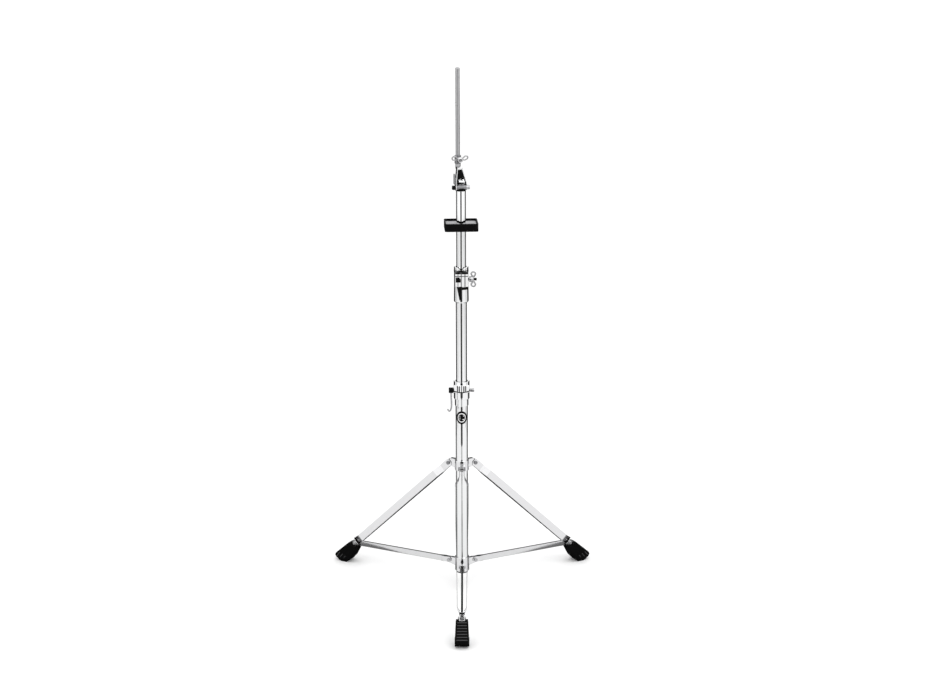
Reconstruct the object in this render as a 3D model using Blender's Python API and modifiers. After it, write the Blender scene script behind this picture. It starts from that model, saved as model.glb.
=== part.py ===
"""Height-adjustable tripod percussion stand with a tray and a tilting top rod.

Metres, +Z up. The floor is z = 0 and the column stands at (0, COLUMN_Y).
Each leg is a pair of bars drawn in its own frame: Z runs up the leg from the foot
bolt, X points outwards from the stand's middle and Y across the pair.
"""
import math

import bmesh
import bpy
from mathutils import Matrix, Vector

MM = 0.001
GAP = 0.3 * MM

# Column
COLUMN_Y = 81.954 * MM
TUBE_SIDES = 32
SMALL_SIDES = 12
TUBE_WALL = 1.2 * MM
BASE_TUBE_R = 14.3 * MM
MIDDLE_TUBE_R = 12.7 * MM
UPPER_TUBE_R = 11.1 * MM
ROD_R = 4.75 * MM
BASE_TUBE_Z = (40.0 * MM, 470.0 * MM)
MIDDLE_TUBE_Z = (250.0 * MM, 735.0 * MM)
UPPER_TUBE_Z = (560.0 * MM, 950.0 * MM)

# Tripod
LEG_AZIMUTHS = {"front": -90.0, "left": 150.0, "right": 30.0}
PIVOT_R = 33.5 * MM
UPPER_PIVOT_Z = 304.7 * MM
LOWER_PIVOT_Z = 60.8 * MM
FOOT_BOLT_R = 300.4 * MM
FOOT_BOLT_Z = 50.6 * MM
SHEET = 1.2 * MM
LEG_HALF_HEIGHT = 8.7 * MM
LEG_TAB_HALF_WIDTH = 4.5 * MM
LEG_NECK_HALF_WIDTH = 5.75 * MM
LEG_TOP_HALF_WIDTH = 16.0 * MM
LEG_FOOT_HALF_WIDTH = 11.2 * MM
BRACE_HALF_HEIGHT = 7.0 * MM
BRACE_HALF_WIDTH = 5.25 * MM
BRACE_SLIM_HALF_WIDTH = 2.4 * MM
BRACE_TIP_HALF_WIDTH = 3.0 * MM
UPPER_LUG_HALF = 4.2 * MM
LOWER_LUG_HALF = 3.7 * MM
PIN_R = 2.5 * MM
PIN_HOLE_R = PIN_R + GAP
FOOT_TOP_WIDTH = 27.0 * MM
FOOT_SOLE_WIDTH = 32.5 * MM

# Clamps
BASE_CLAMP_R = 18.3 * MM
BASE_CLAMP_Z = (449.0 * MM, 508.0 * MM)
BASE_BOLT_Y = -21.5 * MM
BASE_BOLT_Z = 491.5 * MM
LEVER_X = -24.0 * MM
HEIGHT_CLAMP_R = 16.5 * MM
HEIGHT_CLAMP_Z = (694.0 * MM, 777.0 * MM)
HEIGHT_BOLT_Y = -19.5 * MM
HEIGHT_BOLT_Z = 752.0 * MM
CLAMP_BOLT_R = 3.0 * MM

# Tray
TRAY_SIZE = Vector((75.0, 64.0, 18.0)) * MM
TRAY_Z = 862.8 * MM
TRAY_YAW = math.radians(3.0)
TRAY_WALL = 3.0 * MM
TRAY_RECESS = 7.0 * MM
TRAY_FLOOR = 3.0 * MM
MAT_THICKNESS = 1.5 * MM

# Tilter
TILTER_Z = 957.5 * MM
TILTER_YAW = math.radians(15.0)
HEAD_SHIFT = -1.2 * MM
BARREL_R = 7.0 * MM
BARREL_HALF = 11.0 * MM
PLATE = 1.8 * MM
RATCHET_R = 21.0 * MM
YOKE_TOP = 46.0 * MM
HOLDER_X = -5.6 * MM
HOLDER_Y = 5.0 * MM
HOLDER_TOP = 72.0 * MM
ROD_FOOT = 56.3 * MM
ROD_TOP = 1224.0 * MM - TILTER_Z

FINISHES = {
    "chrome": ((0.86, 0.86, 0.87), 0.08, 1.0),
    "dark_steel": ((0.10, 0.10, 0.11), 0.30, 1.0),
    "steel": ((0.55, 0.55, 0.56), 0.32, 1.0),
    "black_plastic": ((0.015, 0.015, 0.016), 0.45, 0.0),
    "rubber": ((0.012, 0.012, 0.013), 0.75, 0.0),
    "grey_mat": ((0.42, 0.42, 0.43), 0.85, 0.0),
}


def clear_scene():
    for obj in list(bpy.data.objects):
        bpy.data.objects.remove(obj, do_unlink=True)


def new_collection(name):
    collection = bpy.data.collections.new(name)
    bpy.context.scene.collection.children.link(collection)
    return collection


def principled(name, finish):
    colour, roughness, metallic = FINISHES[finish]
    material = bpy.data.materials.new(name + "_finish")
    material.use_nodes = True
    shader = material.node_tree.nodes["Principled BSDF"]
    shader.inputs["Base Color"].default_value = (*colour, 1.0)
    shader.inputs["Roughness"].default_value = roughness
    shader.inputs["Metallic"].default_value = metallic
    return material


clear_scene()
PARTS = new_collection("percussion_stand")
CUTTERS = new_collection("cutters")


# ---------------------------------------------------------------- basic tools

def place(obj, finish, parent, location=(0, 0, 0), rotation=(0, 0, 0)):
    """Put a part in its collection; a shape with no finish is a cutter."""
    if finish is None:
        CUTTERS.objects.link(obj)
        obj.hide_render = True
        obj.display_type = "WIRE"
    else:
        PARTS.objects.link(obj)
        obj.data.materials.clear()
        obj.data.materials.append(principled(obj.name, finish))
    obj.parent = parent
    obj.location = location
    obj.rotation_euler = rotation
    return obj


def pivot(name, parent, location=(0, 0, 0), rotation=(0, 0, 0)):
    empty = bpy.data.objects.new(name, None)
    PARTS.objects.link(empty)
    empty.parent = parent
    empty.location = location
    empty.rotation_euler = rotation
    return empty


def from_bmesh(name, bm, finish, parent, location=(0, 0, 0), rotation=(0, 0, 0)):
    mesh = bpy.data.meshes.new(name)
    bm.to_mesh(mesh)
    bm.free()
    return place(bpy.data.objects.new(name, mesh), finish, parent, location, rotation)


def soften(obj, width, segments=1, angle=35.0):
    bevel = obj.modifiers.new("edges", "BEVEL")
    bevel.width = width
    bevel.segments = segments
    bevel.limit_method = "ANGLE"
    bevel.angle_limit = math.radians(angle)
    return obj


def box(name, low, high, finish, parent, bevel=0.0):
    """A box between two corners, given in the parent's frame."""
    low, high = Vector(low), Vector(high)
    size = high - low
    bm = bmesh.new()
    shape = Matrix.Translation((low + high) / 2) @ Matrix.Diagonal((*size, 1.0))
    bmesh.ops.create_cube(bm, size=1.0, matrix=shape)
    obj = from_bmesh(name, bm, finish, parent)
    return soften(obj, bevel) if bevel else obj


AXIS_TURN = {
    "X": Matrix.Rotation(math.pi / 2, 4, "Y"),
    "Y": Matrix.Rotation(math.pi / 2, 4, "X"),
    "Z": Matrix.Identity(4),
}


def cylinder(name, radius, start, end, axis, finish, parent, centre=(0, 0, 0), sides=SMALL_SIDES):
    """A cylinder from start to end along one axis, its other coordinates from centre."""
    middle = Vector(centre)
    middle["XYZ".index(axis)] = (start + end) / 2
    bm = bmesh.new()
    turn = Matrix.Translation(middle) @ AXIS_TURN[axis]
    bmesh.ops.create_cone(bm, cap_ends=True, segments=sides, radius1=radius, radius2=radius,
                          depth=abs(end - start), matrix=turn)
    return from_bmesh(name, bm, finish, parent)


def lathe(name, profile, finish, parent, sides=TUBE_SIDES, location=(0, 0, 0), rotation=(0, 0, 0)):
    """Turn (radius, z) points about Z; a profile that misses the axis is closed into a ring."""
    last = len(profile) - 1
    edges = [(i, i + 1) for i in range(last)]
    if profile[0][0] > 0:
        edges.append((last, 0))
    mesh = bpy.data.meshes.new(name)
    mesh.from_pydata([(r, 0, z) for r, z in profile], edges, [])
    obj = place(bpy.data.objects.new(name, mesh), finish, parent, location, rotation)
    screw = obj.modifiers.new("turn", "SCREW")
    screw.steps = sides
    screw.render_steps = sides
    screw.use_merge_vertices = True
    screw.merge_threshold = 0.00001
    return obj


def ring(name, inner, outer, low, high, finish, parent, chamfer=0.0, sides=TUBE_SIDES):
    profile = [(outer - chamfer, high), (outer, high - chamfer), (outer, low + chamfer),
               (outer - chamfer, low), (inner, low), (inner, high)]
    if not chamfer:
        profile = [(outer, high), (outer, low), (inner, low), (inner, high)]
    return lathe(name, profile, finish, parent, sides)


def outline_plate(name, points, half_thickness, finish, parent, rotation=(0, 0, 0), location=(0, 0, 0)):
    """A flat outline in its local XY plane, thick along local Z."""
    curve = bpy.data.curves.new(name, "CURVE")
    curve.dimensions = "2D"
    curve.fill_mode = "BOTH"
    curve.extrude = half_thickness
    spline = curve.splines.new("POLY")
    spline.points.add(len(points) - 1)
    for point, (x, y) in zip(spline.points, points):
        point.co = (x, y, 0, 1)
    spline.use_cyclic_u = True
    guide = bpy.data.objects.new(name + "_outline", curve)
    bpy.context.scene.collection.objects.link(guide)
    bpy.context.view_layer.update()
    evaluated = guide.evaluated_get(bpy.context.evaluated_depsgraph_get())
    mesh = bpy.data.meshes.new_from_object(evaluated)
    bpy.data.objects.remove(guide, do_unlink=True)
    bm = bmesh.new()
    bm.from_mesh(mesh)
    bmesh.ops.remove_doubles(bm, verts=bm.verts, dist=0.00001)
    bmesh.ops.recalc_face_normals(bm, faces=bm.faces)
    bm.to_mesh(mesh)
    bm.free()
    return place(bpy.data.objects.new(name, mesh), finish, parent, location, rotation)


def combine(obj, other, operation):
    boolean = obj.modifiers.new(operation.lower(), "BOOLEAN")
    boolean.operation = operation
    boolean.object = other
    boolean.solver = "EXACT"


def cut(obj, *cutters):
    for cutter in cutters:
        combine(obj, cutter, "DIFFERENCE")


def join(obj, *others):
    for other in others:
        combine(obj, other, "UNION")


def arc(radius, start, end, steps, centre=(0.0, 0.0)):
    """Points on an arc, angles in degrees, both ends included."""
    points = []
    for step in range(steps + 1):
        angle = math.radians(start + (end - start) * step / steps)
        points.append((centre[0] + radius * math.cos(angle), centre[1] + radius * math.sin(angle)))
    return points


def channel(name, stations, finish, parent):
    """A bent-sheet channel along Z, open towards -X.

    A station is (z, half width, open edge x, back x, crown, has back): the strip above a
    station without a back is two separate flanges.
    """
    bm = bmesh.new()
    rows = []
    for z, half, low, high, crown, _ in stations:
        round_off = min(crown * 2, half * 0.4)
        shoulder = high - crown
        section = [(low, -half), (shoulder, -half), (high - crown * 0.3, -half + round_off), (high, 0.0),
                   (high - crown * 0.3, half - round_off), (shoulder, half), (low, half)]
        rows.append([bm.verts.new((x, y, z)) for x, y in section])
    for index in range(len(rows) - 1):
        whole = stations[index][5]
        for strip in range(6):
            if whole or strip in (0, 5):
                lower, upper = rows[index], rows[index + 1]
                bm.faces.new((lower[strip], lower[strip + 1], upper[strip + 1], upper[strip]))
    loose = [vert for vert in bm.verts if not vert.link_faces]
    bmesh.ops.delete(bm, geom=loose, context="VERTS")
    obj = from_bmesh(name, bm, finish, parent)
    shell = obj.modifiers.new("sheet", "SOLIDIFY")
    shell.thickness = SHEET
    shell.offset = -1.0
    shell.use_even_offset = True
    return obj


def headed_pin(name, half_length, head_r, head_h, finish, parent, location=(0, 0, 0), radius=PIN_R):
    """A pin along Y with a rounded head at each end."""
    head = half_length - head_h
    soft = head_h * 0.35
    profile = [(0, half_length), (head_r - soft, half_length), (head_r, half_length - soft), (head_r, head),
               (radius, head), (radius, -head), (head_r, -head), (head_r, soft - half_length),
               (head_r - soft, -half_length), (0, -half_length)]
    return lathe(name, profile, finish, parent, SMALL_SIDES, location, (math.pi / 2, 0, 0))


def loop_wing_nut(name, finish, parent, hub_r, hub_length, bore_r, reach, along, loop_r, facing):
    """A hub along Z with two wire-like loops at +-X; facing turns the loops' plane."""
    nut = ring(name, bore_r, hub_r, 0.0, hub_length, finish, parent, 1.0 * MM, SMALL_SIDES)
    wire = [(x + loop_r, z) for x, z in arc(1.5 * MM, 90, -225, 7)]
    for side in (-1, 1):
        turn = (math.pi / 2 - facing, 0, 0)
        loop = lathe(f"{name}_loop_{side}", wire, None, parent, SMALL_SIDES, (side * reach, 0, along), turn)
        join(nut, loop)
    return nut


# ---------------------------------------------------------------- frames

column = pivot("column", None, (0, COLUMN_Y, 0))
upper_collar_frame = pivot("upper_collar_frame", column, (0, 0, UPPER_PIVOT_Z))
middle_frame = pivot("middle_frame", column)
upper_frame = pivot("upper_frame", middle_frame)
tray_frame = pivot("tray_frame", upper_frame, (0, 0, TRAY_Z), (0, 0, TRAY_YAW))
swivel_frame = pivot("swivel_frame", upper_frame, (0, 0, TILTER_Z), (0, 0, TILTER_YAW))
tilt_frame = pivot("tilt_frame", swivel_frame)
rod_frame = pivot("rod_frame", tilt_frame, (HOLDER_X, HOLDER_Y, 0))

LEG_LENGTH = math.hypot(FOOT_BOLT_R - PIVOT_R, UPPER_PIVOT_Z - FOOT_BOLT_Z)
BRACE_LENGTH = math.hypot(FOOT_BOLT_R - PIVOT_R, LOWER_PIVOT_Z - FOOT_BOLT_Z)
LEG_LEAN = math.atan2(FOOT_BOLT_R - PIVOT_R, UPPER_PIVOT_Z - FOOT_BOLT_Z)
BRACE_DROP = math.atan2(LOWER_PIVOT_Z - FOOT_BOLT_Z, FOOT_BOLT_R - PIVOT_R)


# ---------------------------------------------------------------- base

def make_base_tube():
    ring("base_tube", BASE_TUBE_R - TUBE_WALL, BASE_TUBE_R, *BASE_TUBE_Z, "chrome", column)
    low = BASE_TUBE_Z[0]
    inner = BASE_TUBE_R - TUBE_WALL - GAP
    lathe("base_tube_plug", [(0, low + 12 * MM), (inner, low + 12 * MM), (inner, low - GAP),
                             (BASE_TUBE_R, low - GAP), (BASE_TUBE_R - 1 * MM, low - 3 * MM),
                             (0, low - 3 * MM)], "black_plastic", column)


def make_badge():
    centre_z, half_height, half_width = 423.0 * MM, 15.6 * MM, 13.0 * MM
    inner = BASE_TUBE_R + GAP
    badge = ring("badge", inner, inner + 0.8 * MM, centre_z - 20 * MM, centre_z + 20 * MM,
                 "black_plastic", column)
    bm = bmesh.new()
    shape = (Matrix.Translation((0, -15 * MM, centre_z)) @ Matrix.Diagonal((half_width, 1, half_height, 1))
             @ AXIS_TURN["Y"])
    bmesh.ops.create_cone(bm, cap_ends=True, segments=TUBE_SIDES, radius1=1, radius2=1,
                          depth=20 * MM, matrix=shape)
    combine(badge, from_bmesh("cut_badge", bm, None, column), "INTERSECT")


def make_base_clamp():
    """Cast collar: a sleeve on the base tube and a split ring with a bolted block above a groove."""
    low, high = BASE_CLAMP_Z
    bore = BASE_TUBE_R + GAP
    r = BASE_CLAMP_R
    neck = 15.9 * MM
    step, seam = 466.0 * MM, 485.0 * MM
    groove_r = neck + 0.6 * MM
    profile = [(r - 2.0 * MM, high), (r, high - 1.5 * MM), (r, seam + 1.5 * MM), (groove_r, seam + 0.8 * MM),
               (groove_r, seam - 0.8 * MM), (r, seam - 1.5 * MM), (r, step + 1 * MM), (r - 1 * MM, step),
               (neck, step), (neck, low + 3 * MM), (neck - 1 * MM, low), (bore, low), (bore, high)]
    clamp = lathe("base_clamp", profile, "chrome", column)
    block = box("join_base_block", (-r, -26.5 * MM, seam + 1.8 * MM), (r, -8 * MM, high - 4.5 * MM),
                None, column, 2.0 * MM)
    join(clamp, block)
    cut(clamp,
        cylinder("cut_base_bore", bore, low - 5 * MM, high + 5 * MM, "Z", None, column, sides=TUBE_SIDES),
        box("cut_base_slit", (-0.9 * MM, -30 * MM, seam - 1.5 * MM), (0.9 * MM, -10 * MM, high + 5 * MM),
            None, column),
        cylinder("cut_base_bolt", CLAMP_BOLT_R + GAP, -30 * MM, 30 * MM, "X", None, column,
                 (0, BASE_BOLT_Y, BASE_BOLT_Z)))
    for side in (-1, 1):
        x = 5.2 * MM * side
        cut(clamp, box(f"cut_base_groove_{side}", (x - 1.3 * MM, -30 * MM, seam + 3 * MM),
                       (x + 1.3 * MM, -25 * MM, high - 6 * MM), None, column))


def make_base_clamp_fittings():
    ring("base_clamp_bushing", MIDDLE_TUBE_R + GAP, BASE_TUBE_R, BASE_TUBE_Z[1] + 1 * MM,
         BASE_CLAMP_Z[1] - 1 * MM, "black_plastic", column)
    bolt_frame = pivot("base_bolt_frame", column, (0, BASE_BOLT_Y, BASE_BOLT_Z), (0, math.pi / 2, 0))
    cylinder("base_clamp_bolt", CLAMP_BOLT_R, -27.5 * MM, 27.5 * MM, "Z", "steel", bolt_frame)
    ring("base_clamp_nut", CLAMP_BOLT_R + GAP, 4.4 * MM, BASE_CLAMP_R + 1 * MM, 29 * MM, "steel",
         bolt_frame, 0.8 * MM, SMALL_SIDES)


def make_lever():
    """Black hub on the clamp bolt with a slim arm that hangs down and hooks outwards."""
    frame = pivot("lever_frame", column, (LEVER_X, BASE_BOLT_Y, BASE_BOLT_Z))
    hub = ring("base_clamp_lever_hub", CLAMP_BOLT_R + GAP, 6.5 * MM, -5.5 * MM, 5.5 * MM, "dark_steel",
               frame, 1.2 * MM, SMALL_SIDES)
    hub.rotation_euler = (0, math.pi / 2, 0)
    route = [(0.5, -6.9), (0.3, -16), (1.0, -28), (0.8, -38), (-0.6, -46), (-3.4, -50), (-6.6, -48.5),
             (-7.8, -44.5)]
    curve = bpy.data.curves.new("base_clamp_lever", "CURVE")
    curve.dimensions = "3D"
    curve.bevel_depth = 2.1 * MM
    curve.bevel_resolution = 2
    curve.use_fill_caps = True
    spline = curve.splines.new("POLY")
    spline.points.add(len(route) - 1)
    for index, (point, (x, z)) in enumerate(zip(spline.points, route)):
        point.co = (x * MM, 0, z * MM, 1)
        point.radius = 1.15 - 0.35 * index / (len(route) - 1)
    place(bpy.data.objects.new("base_clamp_lever", curve), "chrome", frame)


# ---------------------------------------------------------------- tripod

def lug_outline(hub_r, top, bottom, tip_r):
    """Side view of a collar lug, x outwards, y up from the pivot."""
    inner = hub_r - PIVOT_R - 0.9 * MM
    return [(inner, top), (-6 * MM, top)] + arc(tip_r, 75, -80, 6) + [(inner, bottom)]


def make_leg_collar(name, frame, bore, hub_r, low, high, lug_half, top, bottom):
    """A hub with three lugs; the frame's origin is at the height of the pivots."""
    collar = ring(name, bore, hub_r, low, high, "chrome", frame, 0.8 * MM)
    for leg, azimuth in LEG_AZIMUTHS.items():
        turn = math.radians(azimuth)
        spoke = pivot(f"{name}_spoke_{leg}", frame, (0, 0, 0), (0, 0, turn))
        lug = outline_plate(f"join_{name}_{leg}", lug_outline(hub_r, top, bottom, 7 * MM), lug_half, None,
                            spoke, (math.pi / 2, 0, 0), (PIVOT_R, 0, 0))
        join(collar, lug)
        cut(collar, cylinder(f"cut_{name}_{leg}", PIN_HOLE_R, -10 * MM, 10 * MM, "Y", None, spoke,
                             (PIVOT_R, 0, 0)))
    return collar


def make_collars():
    make_leg_collar("lower_leg_collar", pivot("lower_collar_frame", column, (0, 0, LOWER_PIVOT_Z)),
                    BASE_TUBE_R + GAP, 16.6 * MM, 42 * MM - LOWER_PIVOT_Z, 76 * MM - LOWER_PIVOT_Z,
                    LOWER_LUG_HALF, 8 * MM, -11 * MM)
    make_leg_collar("upper_leg_collar", upper_collar_frame, BASE_TUBE_R + 0.4 * MM, 16.6 * MM,
                    292 * MM - UPPER_PIVOT_Z, 317 * MM - UPPER_PIVOT_Z, UPPER_LUG_HALF, 11.5 * MM,
                    -9.5 * MM)
    screw = cylinder("leg_lock_screw", 3.2 * MM, 17 * MM, 23 * MM, "Y", "steel", upper_collar_frame,
                     (0, 0, -2 * MM), 8)
    join(screw, box("join_lock_key", (-2.5 * MM, 22 * MM, -4.5 * MM), (2.5 * MM, 30 * MM, 0.5 * MM), None,
                    upper_collar_frame))


def leg_stations():
    """Bottom to top along the leg: two parallel bars, joined by a short web under the end cap."""
    a, b = -LEG_HALF_HEIGHT, 9.2 * MM
    crown = 0.3 * MM
    foot_crown = 2.2 * MM
    top = LEG_LENGTH
    tab, neck = LEG_TAB_HALF_WIDTH, LEG_NECK_HALF_WIDTH
    return [
        (-6.6 * MM, tab, -3.0 * MM, 5.0 * MM, foot_crown, False),
        (-3.0 * MM, tab, -6.4 * MM, 8.4 * MM, foot_crown, False),
        (2.0 * MM, tab, a, b, foot_crown, False),
        (7.0 * MM, tab, a, b, crown, True),
        (11.5 * MM, tab, a, b, crown, False),
        (25.0 * MM, LEG_FOOT_HALF_WIDTH, a, b, crown, False),
        (top - 42 * MM, LEG_TOP_HALF_WIDTH, a, b, crown, False),
        (top - 32 * MM, 10.8 * MM, a, b, crown, False),
        (top - 22 * MM, neck, a, b, crown, False),
        (top + 2.0 * MM, neck, a, b, crown, False),
        (top + 6.8 * MM, neck, -4.0 * MM, 6.0 * MM, crown, False),
    ]


def make_leg(leg, frame):
    bars = channel(f"leg_{leg}", leg_stations(), "chrome", frame)
    cut(bars,
        cylinder(f"cut_leg_foot_{leg}", PIN_HOLE_R, -20 * MM, 20 * MM, "Y", None, frame),
        cylinder(f"cut_leg_top_{leg}", PIN_HOLE_R, -20 * MM, 20 * MM, "Y", None, frame, (0, 0, LEG_LENGTH)))
    make_pivot_pins(leg, frame)
    make_end_cap(leg, frame)
    make_foot_clip(leg, frame)
    make_rubber_foot(leg, frame)
    headed_pin(f"foot_bolt_{leg}", 8.9 * MM, 4.3 * MM, 2.4 * MM, "steel", frame)


def make_pivot_pins(leg, frame):
    """Two stub pins on one axis, each through one tab and stopping short of the collar lug."""
    inner = UPPER_LUG_HALF + GAP
    outer = LEG_NECK_HALF_WIDTH + GAP
    face = outer + 2.3 * MM
    head = 4.4 * MM
    profile = [(0, face), (head - 0.8 * MM, face), (head, face - 0.8 * MM), (head, outer), (PIN_R, outer),
               (PIN_R, inner), (0, inner)]
    for side, turn in (("a", -math.pi / 2), ("b", math.pi / 2)):
        lathe(f"leg_pivot_pin_{leg}_{side}", profile, "steel", frame, SMALL_SIDES, (0, 0, LEG_LENGTH),
              (turn, 0, 0))


def make_end_cap(leg, frame):
    """Plastic saddle over the leg's narrow end, above the foot clip."""
    low, high = 7.4 * MM, 10.6 * MM
    inner, outer = LEG_TAB_HALF_WIDTH + GAP, LEG_TAB_HALF_WIDTH + 1.5 * MM
    back = 9.2 * MM + GAP
    cap = box(f"leg_end_cap_{leg}", (-LEG_HALF_HEIGHT, -outer, low), (back + 0.9 * MM, outer, high),
              "black_plastic", frame)
    cut(cap, box(f"cut_cap_{leg}", (-20 * MM, -inner, 0), (back, inner, 20 * MM), None, frame))


def make_foot_clip(leg, frame):
    """Steel fork whose cheeks hold the bolt and whose root sits in the rubber foot."""
    inner, outer = LEG_TAB_HALF_WIDTH + GAP, LEG_TAB_HALF_WIDTH + 1.6 * MM
    clip = box(f"foot_clip_{leg}", (-6.5 * MM, -outer, -16 * MM), (6.5 * MM, outer, 6.6 * MM), "chrome",
               frame, 0.7 * MM)
    cut(clip,
        box(f"cut_clip_{leg}", (-20 * MM, -inner, -8.4 * MM), (20 * MM, inner, 20 * MM), None, frame),
        cylinder(f"cut_clip_hole_{leg}", PIN_HOLE_R, -20 * MM, 20 * MM, "Y", None, frame))


def leg_point(r, z):
    """Turn a (radius, height) point of the standing stand into (x, z) of the leg's frame."""
    dr, dz = r - FOOT_BOLT_R, z - FOOT_BOLT_Z
    along = -dr * math.sin(LEG_LEAN) + dz * math.cos(LEG_LEAN)
    out = dr * math.cos(LEG_LEAN) + dz * math.sin(LEG_LEAN)
    return (out, along)


def make_rubber_foot(leg, frame):
    """Rubber boot: a collar around the clip, a sole that stands flat and a stepped toe."""
    sole = [leg_point(r * MM, z * MM) for r, z in
            [(352.0, 13.0), (347.5, 7.2), (345.0, 6.8), (341.5, 2.8), (339.0, 2.4), (335.0, 0.0),
             (319.5, 0.0), (305.0, 16.0)]]
    outline = [(-12.6 * MM, 2.6 * MM), (-9.2 * MM, 3.0 * MM), (-7.0 * MM, -4.7 * MM), (-2.0 * MM, -7.6 * MM),
               (8.6 * MM, -8.7 * MM), (10.0 * MM, -10.0 * MM), (11.6 * MM, -59.0 * MM)] + sole
    foot = outline_plate(f"rubber_foot_{leg}", outline, FOOT_SOLE_WIDTH / 2, "rubber", frame,
                         (math.pi / 2, 0, 0))
    span = 67.0 * MM
    for vert in foot.data.vertices:
        fraction = min(1.0, max(0.0, -vert.co.y / span))
        vert.co.z *= (FOOT_TOP_WIDTH + (FOOT_SOLE_WIDTH - FOOT_TOP_WIDTH) * fraction) / FOOT_SOLE_WIDTH
    half = LEG_TAB_HALF_WIDTH + 1.6 * MM + GAP
    brace_way = BRACE_TIP_HALF_WIDTH + 2 * GAP
    cut(foot,
        box(f"cut_foot_{leg}", (-6.8 * MM, -half, -16.3 * MM), (6.8 * MM, half, 20 * MM), None, frame),
        box(f"cut_foot_brace_{leg}", (-20 * MM, -brace_way, -6 * MM), (-6 * MM, brace_way, 20 * MM), None,
            frame))


def brace_stations():
    """From the lower collar's pivot to the foot bolt."""
    a, b = -BRACE_HALF_HEIGHT, BRACE_HALF_HEIGHT
    end = BRACE_LENGTH
    wide, slim, tip = BRACE_HALF_WIDTH, BRACE_SLIM_HALF_WIDTH, BRACE_TIP_HALF_WIDTH
    crown = 0.6 * MM
    return [
        (-6.6 * MM, wide, -3.0 * MM, 3.4 * MM, crown, False),
        (-2.6 * MM, wide, a, b, crown, False),
        (14.0 * MM, wide, a, b, crown, True),
        (26.0 * MM, slim, a, b, crown, True),
        (end - 25 * MM, slim, a, b, crown, True),
        (end - 15 * MM, tip, a, b, crown, True),
        (end + 2.6 * MM, tip, a, b, crown, True),
        (end + 6.8 * MM, tip, -3.2 * MM, 3.2 * MM, crown, True),
    ]


def make_brace(leg, frame):
    brace = channel(f"brace_{leg}", brace_stations(), "chrome", frame)
    cut(brace,
        cylinder(f"cut_brace_in_{leg}", PIN_HOLE_R, -20 * MM, 20 * MM, "Y", None, frame),
        cylinder(f"cut_brace_out_{leg}", PIN_HOLE_R, -20 * MM, 20 * MM, "Y", None, frame,
                 (0, 0, BRACE_LENGTH)))


def make_tripod():
    make_collars()
    for leg, azimuth in LEG_AZIMUTHS.items():
        spoke = pivot(f"spoke_{leg}", column, (0, 0, 0), (0, 0, math.radians(azimuth)))
        headed_pin(f"brace_pin_{leg}", 7.8 * MM, 4.4 * MM, 2.2 * MM, "steel", spoke,
                   (PIVOT_R, 0, LOWER_PIVOT_Z))
        brace_frame = pivot(f"brace_frame_{leg}", spoke, (PIVOT_R, 0, LOWER_PIVOT_Z),
                            (0, math.pi / 2 + BRACE_DROP, 0))
        make_brace(leg, brace_frame)
        leg_frame = pivot(f"leg_frame_{leg}", brace_frame, (0, 0, BRACE_LENGTH),
                          (0, -LEG_LEAN - math.pi / 2 - BRACE_DROP, 0))
        make_leg(leg, leg_frame)


# ---------------------------------------------------------------- middle section

def tube_plug(name, radius, low, frame):
    """Black end plug: a stem inside the tube and a rim below it."""
    inner = radius - TUBE_WALL - GAP
    lathe(name, [(0, low + 10 * MM), (inner, low + 10 * MM), (inner, low - GAP), (radius, low - GAP),
                 (radius - 0.8 * MM, low - 2.5 * MM), (0, low - 2.5 * MM)], "black_plastic", frame)


def make_height_clamp():
    """Cast split sleeve with a bolted block in front and a V notch in its top rim."""
    low, high = HEIGHT_CLAMP_Z
    bore = MIDDLE_TUBE_R + GAP
    r = HEIGHT_CLAMP_R
    foot_r = 17.0 * MM
    block_low, block_high = 735 * MM, 769 * MM
    profile = [(r - 2.0 * MM, high), (r, high - 1.5 * MM), (r, block_low), (foot_r, low + 8 * MM),
               (foot_r, low + 3.5 * MM), (bore + 1.2 * MM, low), (bore, low), (bore, high)]
    clamp = lathe("height_clamp", profile, "chrome", middle_frame)
    join(clamp, box("join_height_block", (-14 * MM, -25 * MM, block_low), (r, -8 * MM, block_high), None,
                    middle_frame, 1.2 * MM))
    cut(clamp,
        cylinder("cut_height_bore", bore, low - 5 * MM, high + 5 * MM, "Z", None, middle_frame,
                 sides=TUBE_SIDES),
        box("cut_height_slit", (-0.9 * MM, -30 * MM, block_low - 4 * MM),
            (0.9 * MM, -10 * MM, high + 5 * MM), None, middle_frame),
        cylinder("cut_height_bolt", CLAMP_BOLT_R + GAP, -30 * MM, 30 * MM, "X", None, middle_frame,
                 (0, HEIGHT_BOLT_Y, HEIGHT_BOLT_Z)),
        box("cut_height_pocket", (-12.4 * MM, -30 * MM, HEIGHT_BOLT_Z - 5 * MM),
            (-3.2 * MM, -15.6 * MM, HEIGHT_BOLT_Z + 5 * MM), None, middle_frame),
        outline_plate("cut_height_notch",
                      [(-9 * MM, high + 1 * MM), (0, high - 6.5 * MM), (9 * MM, high + 1 * MM)],
                      10 * MM, None, middle_frame, (math.pi / 2, 0, 0), (0, -16 * MM, 0)))


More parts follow.
